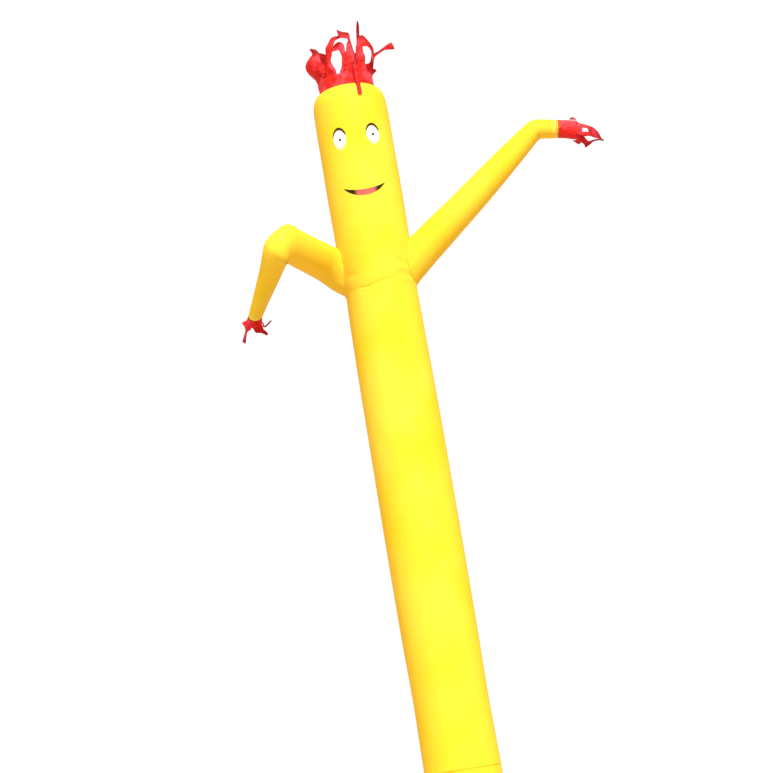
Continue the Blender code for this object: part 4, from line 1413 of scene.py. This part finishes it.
def build_cuff(side, rings, cuff_point):
    length = ring_places(rings)[-1]
    girth = math.pi * (rings[0].width + rings[0].depth) / 2
    rows, spans = [], []
    for r in range(CUFF_ROWS + 1):
        at = length * r / CUFF_ROWS
        rows.append([cuff_point(FINGER_STEPS * i / SLEEVE_STEPS, at) for i in range(SLEEVE_STEPS)])
        spans.append([(girth * i / SLEEVE_STEPS, at) for i in range(SLEEVE_STEPS + 1)])
    hem_girth = girth if side == "right" else None
    paint = red_cloth("cuff_" + side + "_nylon", edged=False, girth=hem_girth)
    cuff = grid_object("cuff_" + side + "_cloth", rows, spans, paint)
    dress(cuff, "cuff_" + side, area=surface_area(cuff))


def build_fingers(side, strips, length, cuff_point, crumple, strip_shades):
    bands = [lambda step, at=length + rise: cuff_point(step, at) for rise in BAND_RISES]
    paint = red_cloth("fingers_" + side + "_nylon")
    name = "fingers_" + side + "_cloth"
    fingers, area = fringe_object(name, strips, bands, FINGER_STEPS, paint, crumple, strip_shades)
    dress(fingers, "fringe_" + side, area=area)


def build_hands():
    sides = (
        ("right", CUFF_RIGHT, FINGERS_RIGHT, 0.0028, RIGHT_FINGER_SHADES, 0.0055),
        ("left", CUFF_LEFT, FINGERS_LEFT, 0.0030, LEFT_FINGER_SHADES, 0.0),
    )
    for side, rings, strips, crumple, strip_shades, sag in sides:
        cuff_point = cuff_shape(rings, sag)
        build_cuff(side, rings, cuff_point)
        build_fingers(side, strips, ring_places(rings)[-1], cuff_point, crumple, strip_shades)


# Stage, light and camera

FLOOR_GREY = 0.46
SKY_LIGHT = 0.44
SKY_SEEN = 1.05
CAMERA_PLACE = (0.0, -13.5, 1.337)


def build_stage():
    bm = bmesh.new()
    bmesh.ops.create_grid(bm, x_segments=1, y_segments=1, size=60.0)
    material = new_material("floor_white")
    shader = material.node_tree.nodes["Principled BSDF"]
    shader.inputs["Base Color"].default_value = (FLOOR_GREY, FLOOR_GREY, FLOOR_GREY, 1.0)
    shader.inputs["Roughness"].default_value = 0.9
    shader.inputs["Specular IOR Level"].default_value = 0.0
    floor = link_object("floor", bm, material)
    floor.location = (0.0, 0.0, -0.001)


def build_light():
    """Key and fill suns, and a sky that lights the cloth less than it shows to the camera."""
    world = bpy.data.worlds.new("studio")
    bpy.context.scene.world = world
    world.use_nodes = True
    tree = world.node_tree
    soft = tree.nodes["Background"]
    white = tree.nodes.new("ShaderNodeBackground")
    for sky, strength in ((soft, SKY_LIGHT), (white, SKY_SEEN)):
        sky.inputs[0].default_value = (1.0, 1.0, 1.0, 1.0)
        sky.inputs[1].default_value = strength
    seen = tree.nodes.new("ShaderNodeLightPath")
    both = tree.nodes.new("ShaderNodeMixShader")
    tree.links.new(seen.outputs["Is Camera Ray"], both.inputs[0])
    tree.links.new(soft.outputs[0], both.inputs[1])
    tree.links.new(white.outputs[0], both.inputs[2])
    tree.links.new(both.outputs[0], tree.nodes["World Output"].inputs["Surface"])

    lamps = (
        ("key", 6.2, 14, (0.32, -0.80, 0.88), (1.0, 0.99, 0.96)),
        ("fill", 1.1, 60, (-0.80, -0.55, 0.35), (1.0, 0.93, 0.60)),
    )
    for name, energy, spread, towards, colour in lamps:
        sun = bpy.data.lights.new(name, "SUN")
        sun.energy = energy
        sun.angle = math.radians(spread)
        sun.color = colour
        lamp = bpy.data.objects.new(name, sun)
        lamp.rotation_euler = Vector(towards).to_track_quat("Z", "Y").to_euler()
        bpy.context.scene.collection.objects.link(lamp)


def build_camera():
    """View from 1.3 m above the floor, tilted up and rolled as the photo was taken."""
    pitch, yaw, roll = (math.radians(v) for v in (10.405, -0.280, 9.633))
    focal_pixels = 2241.5
    frame_pixels = 773
    forward = Vector((math.sin(yaw) * math.cos(pitch), math.cos(yaw) * math.cos(pitch), math.sin(pitch)))
    level = Vector((math.cos(yaw), -math.sin(yaw), 0.0))
    upright = level.cross(forward)
    right = level * math.cos(roll) - upright * math.sin(roll)
    up = level * math.sin(roll) + upright * math.cos(roll)
    data = bpy.data.cameras.new("camera")
    data.sensor_width = 36.0
    data.lens = focal_pixels / frame_pixels * 36.0
    data.clip_end = 200.0
    camera = bpy.data.objects.new("camera", data)
    turn = Matrix((right, up, -forward)).transposed().to_4x4()
    camera.matrix_world = Matrix.Translation(CAMERA_PLACE) @ turn
    bpy.context.scene.collection.objects.link(camera)
    bpy.context.scene.camera = camera
    bpy.context.scene.view_settings.view_transform = "Standard"


build_stage()
build_light()
build_camera()
holes = build_tube()
build_sleeves(holes)
build_collar()
build_hair()
build_hands()
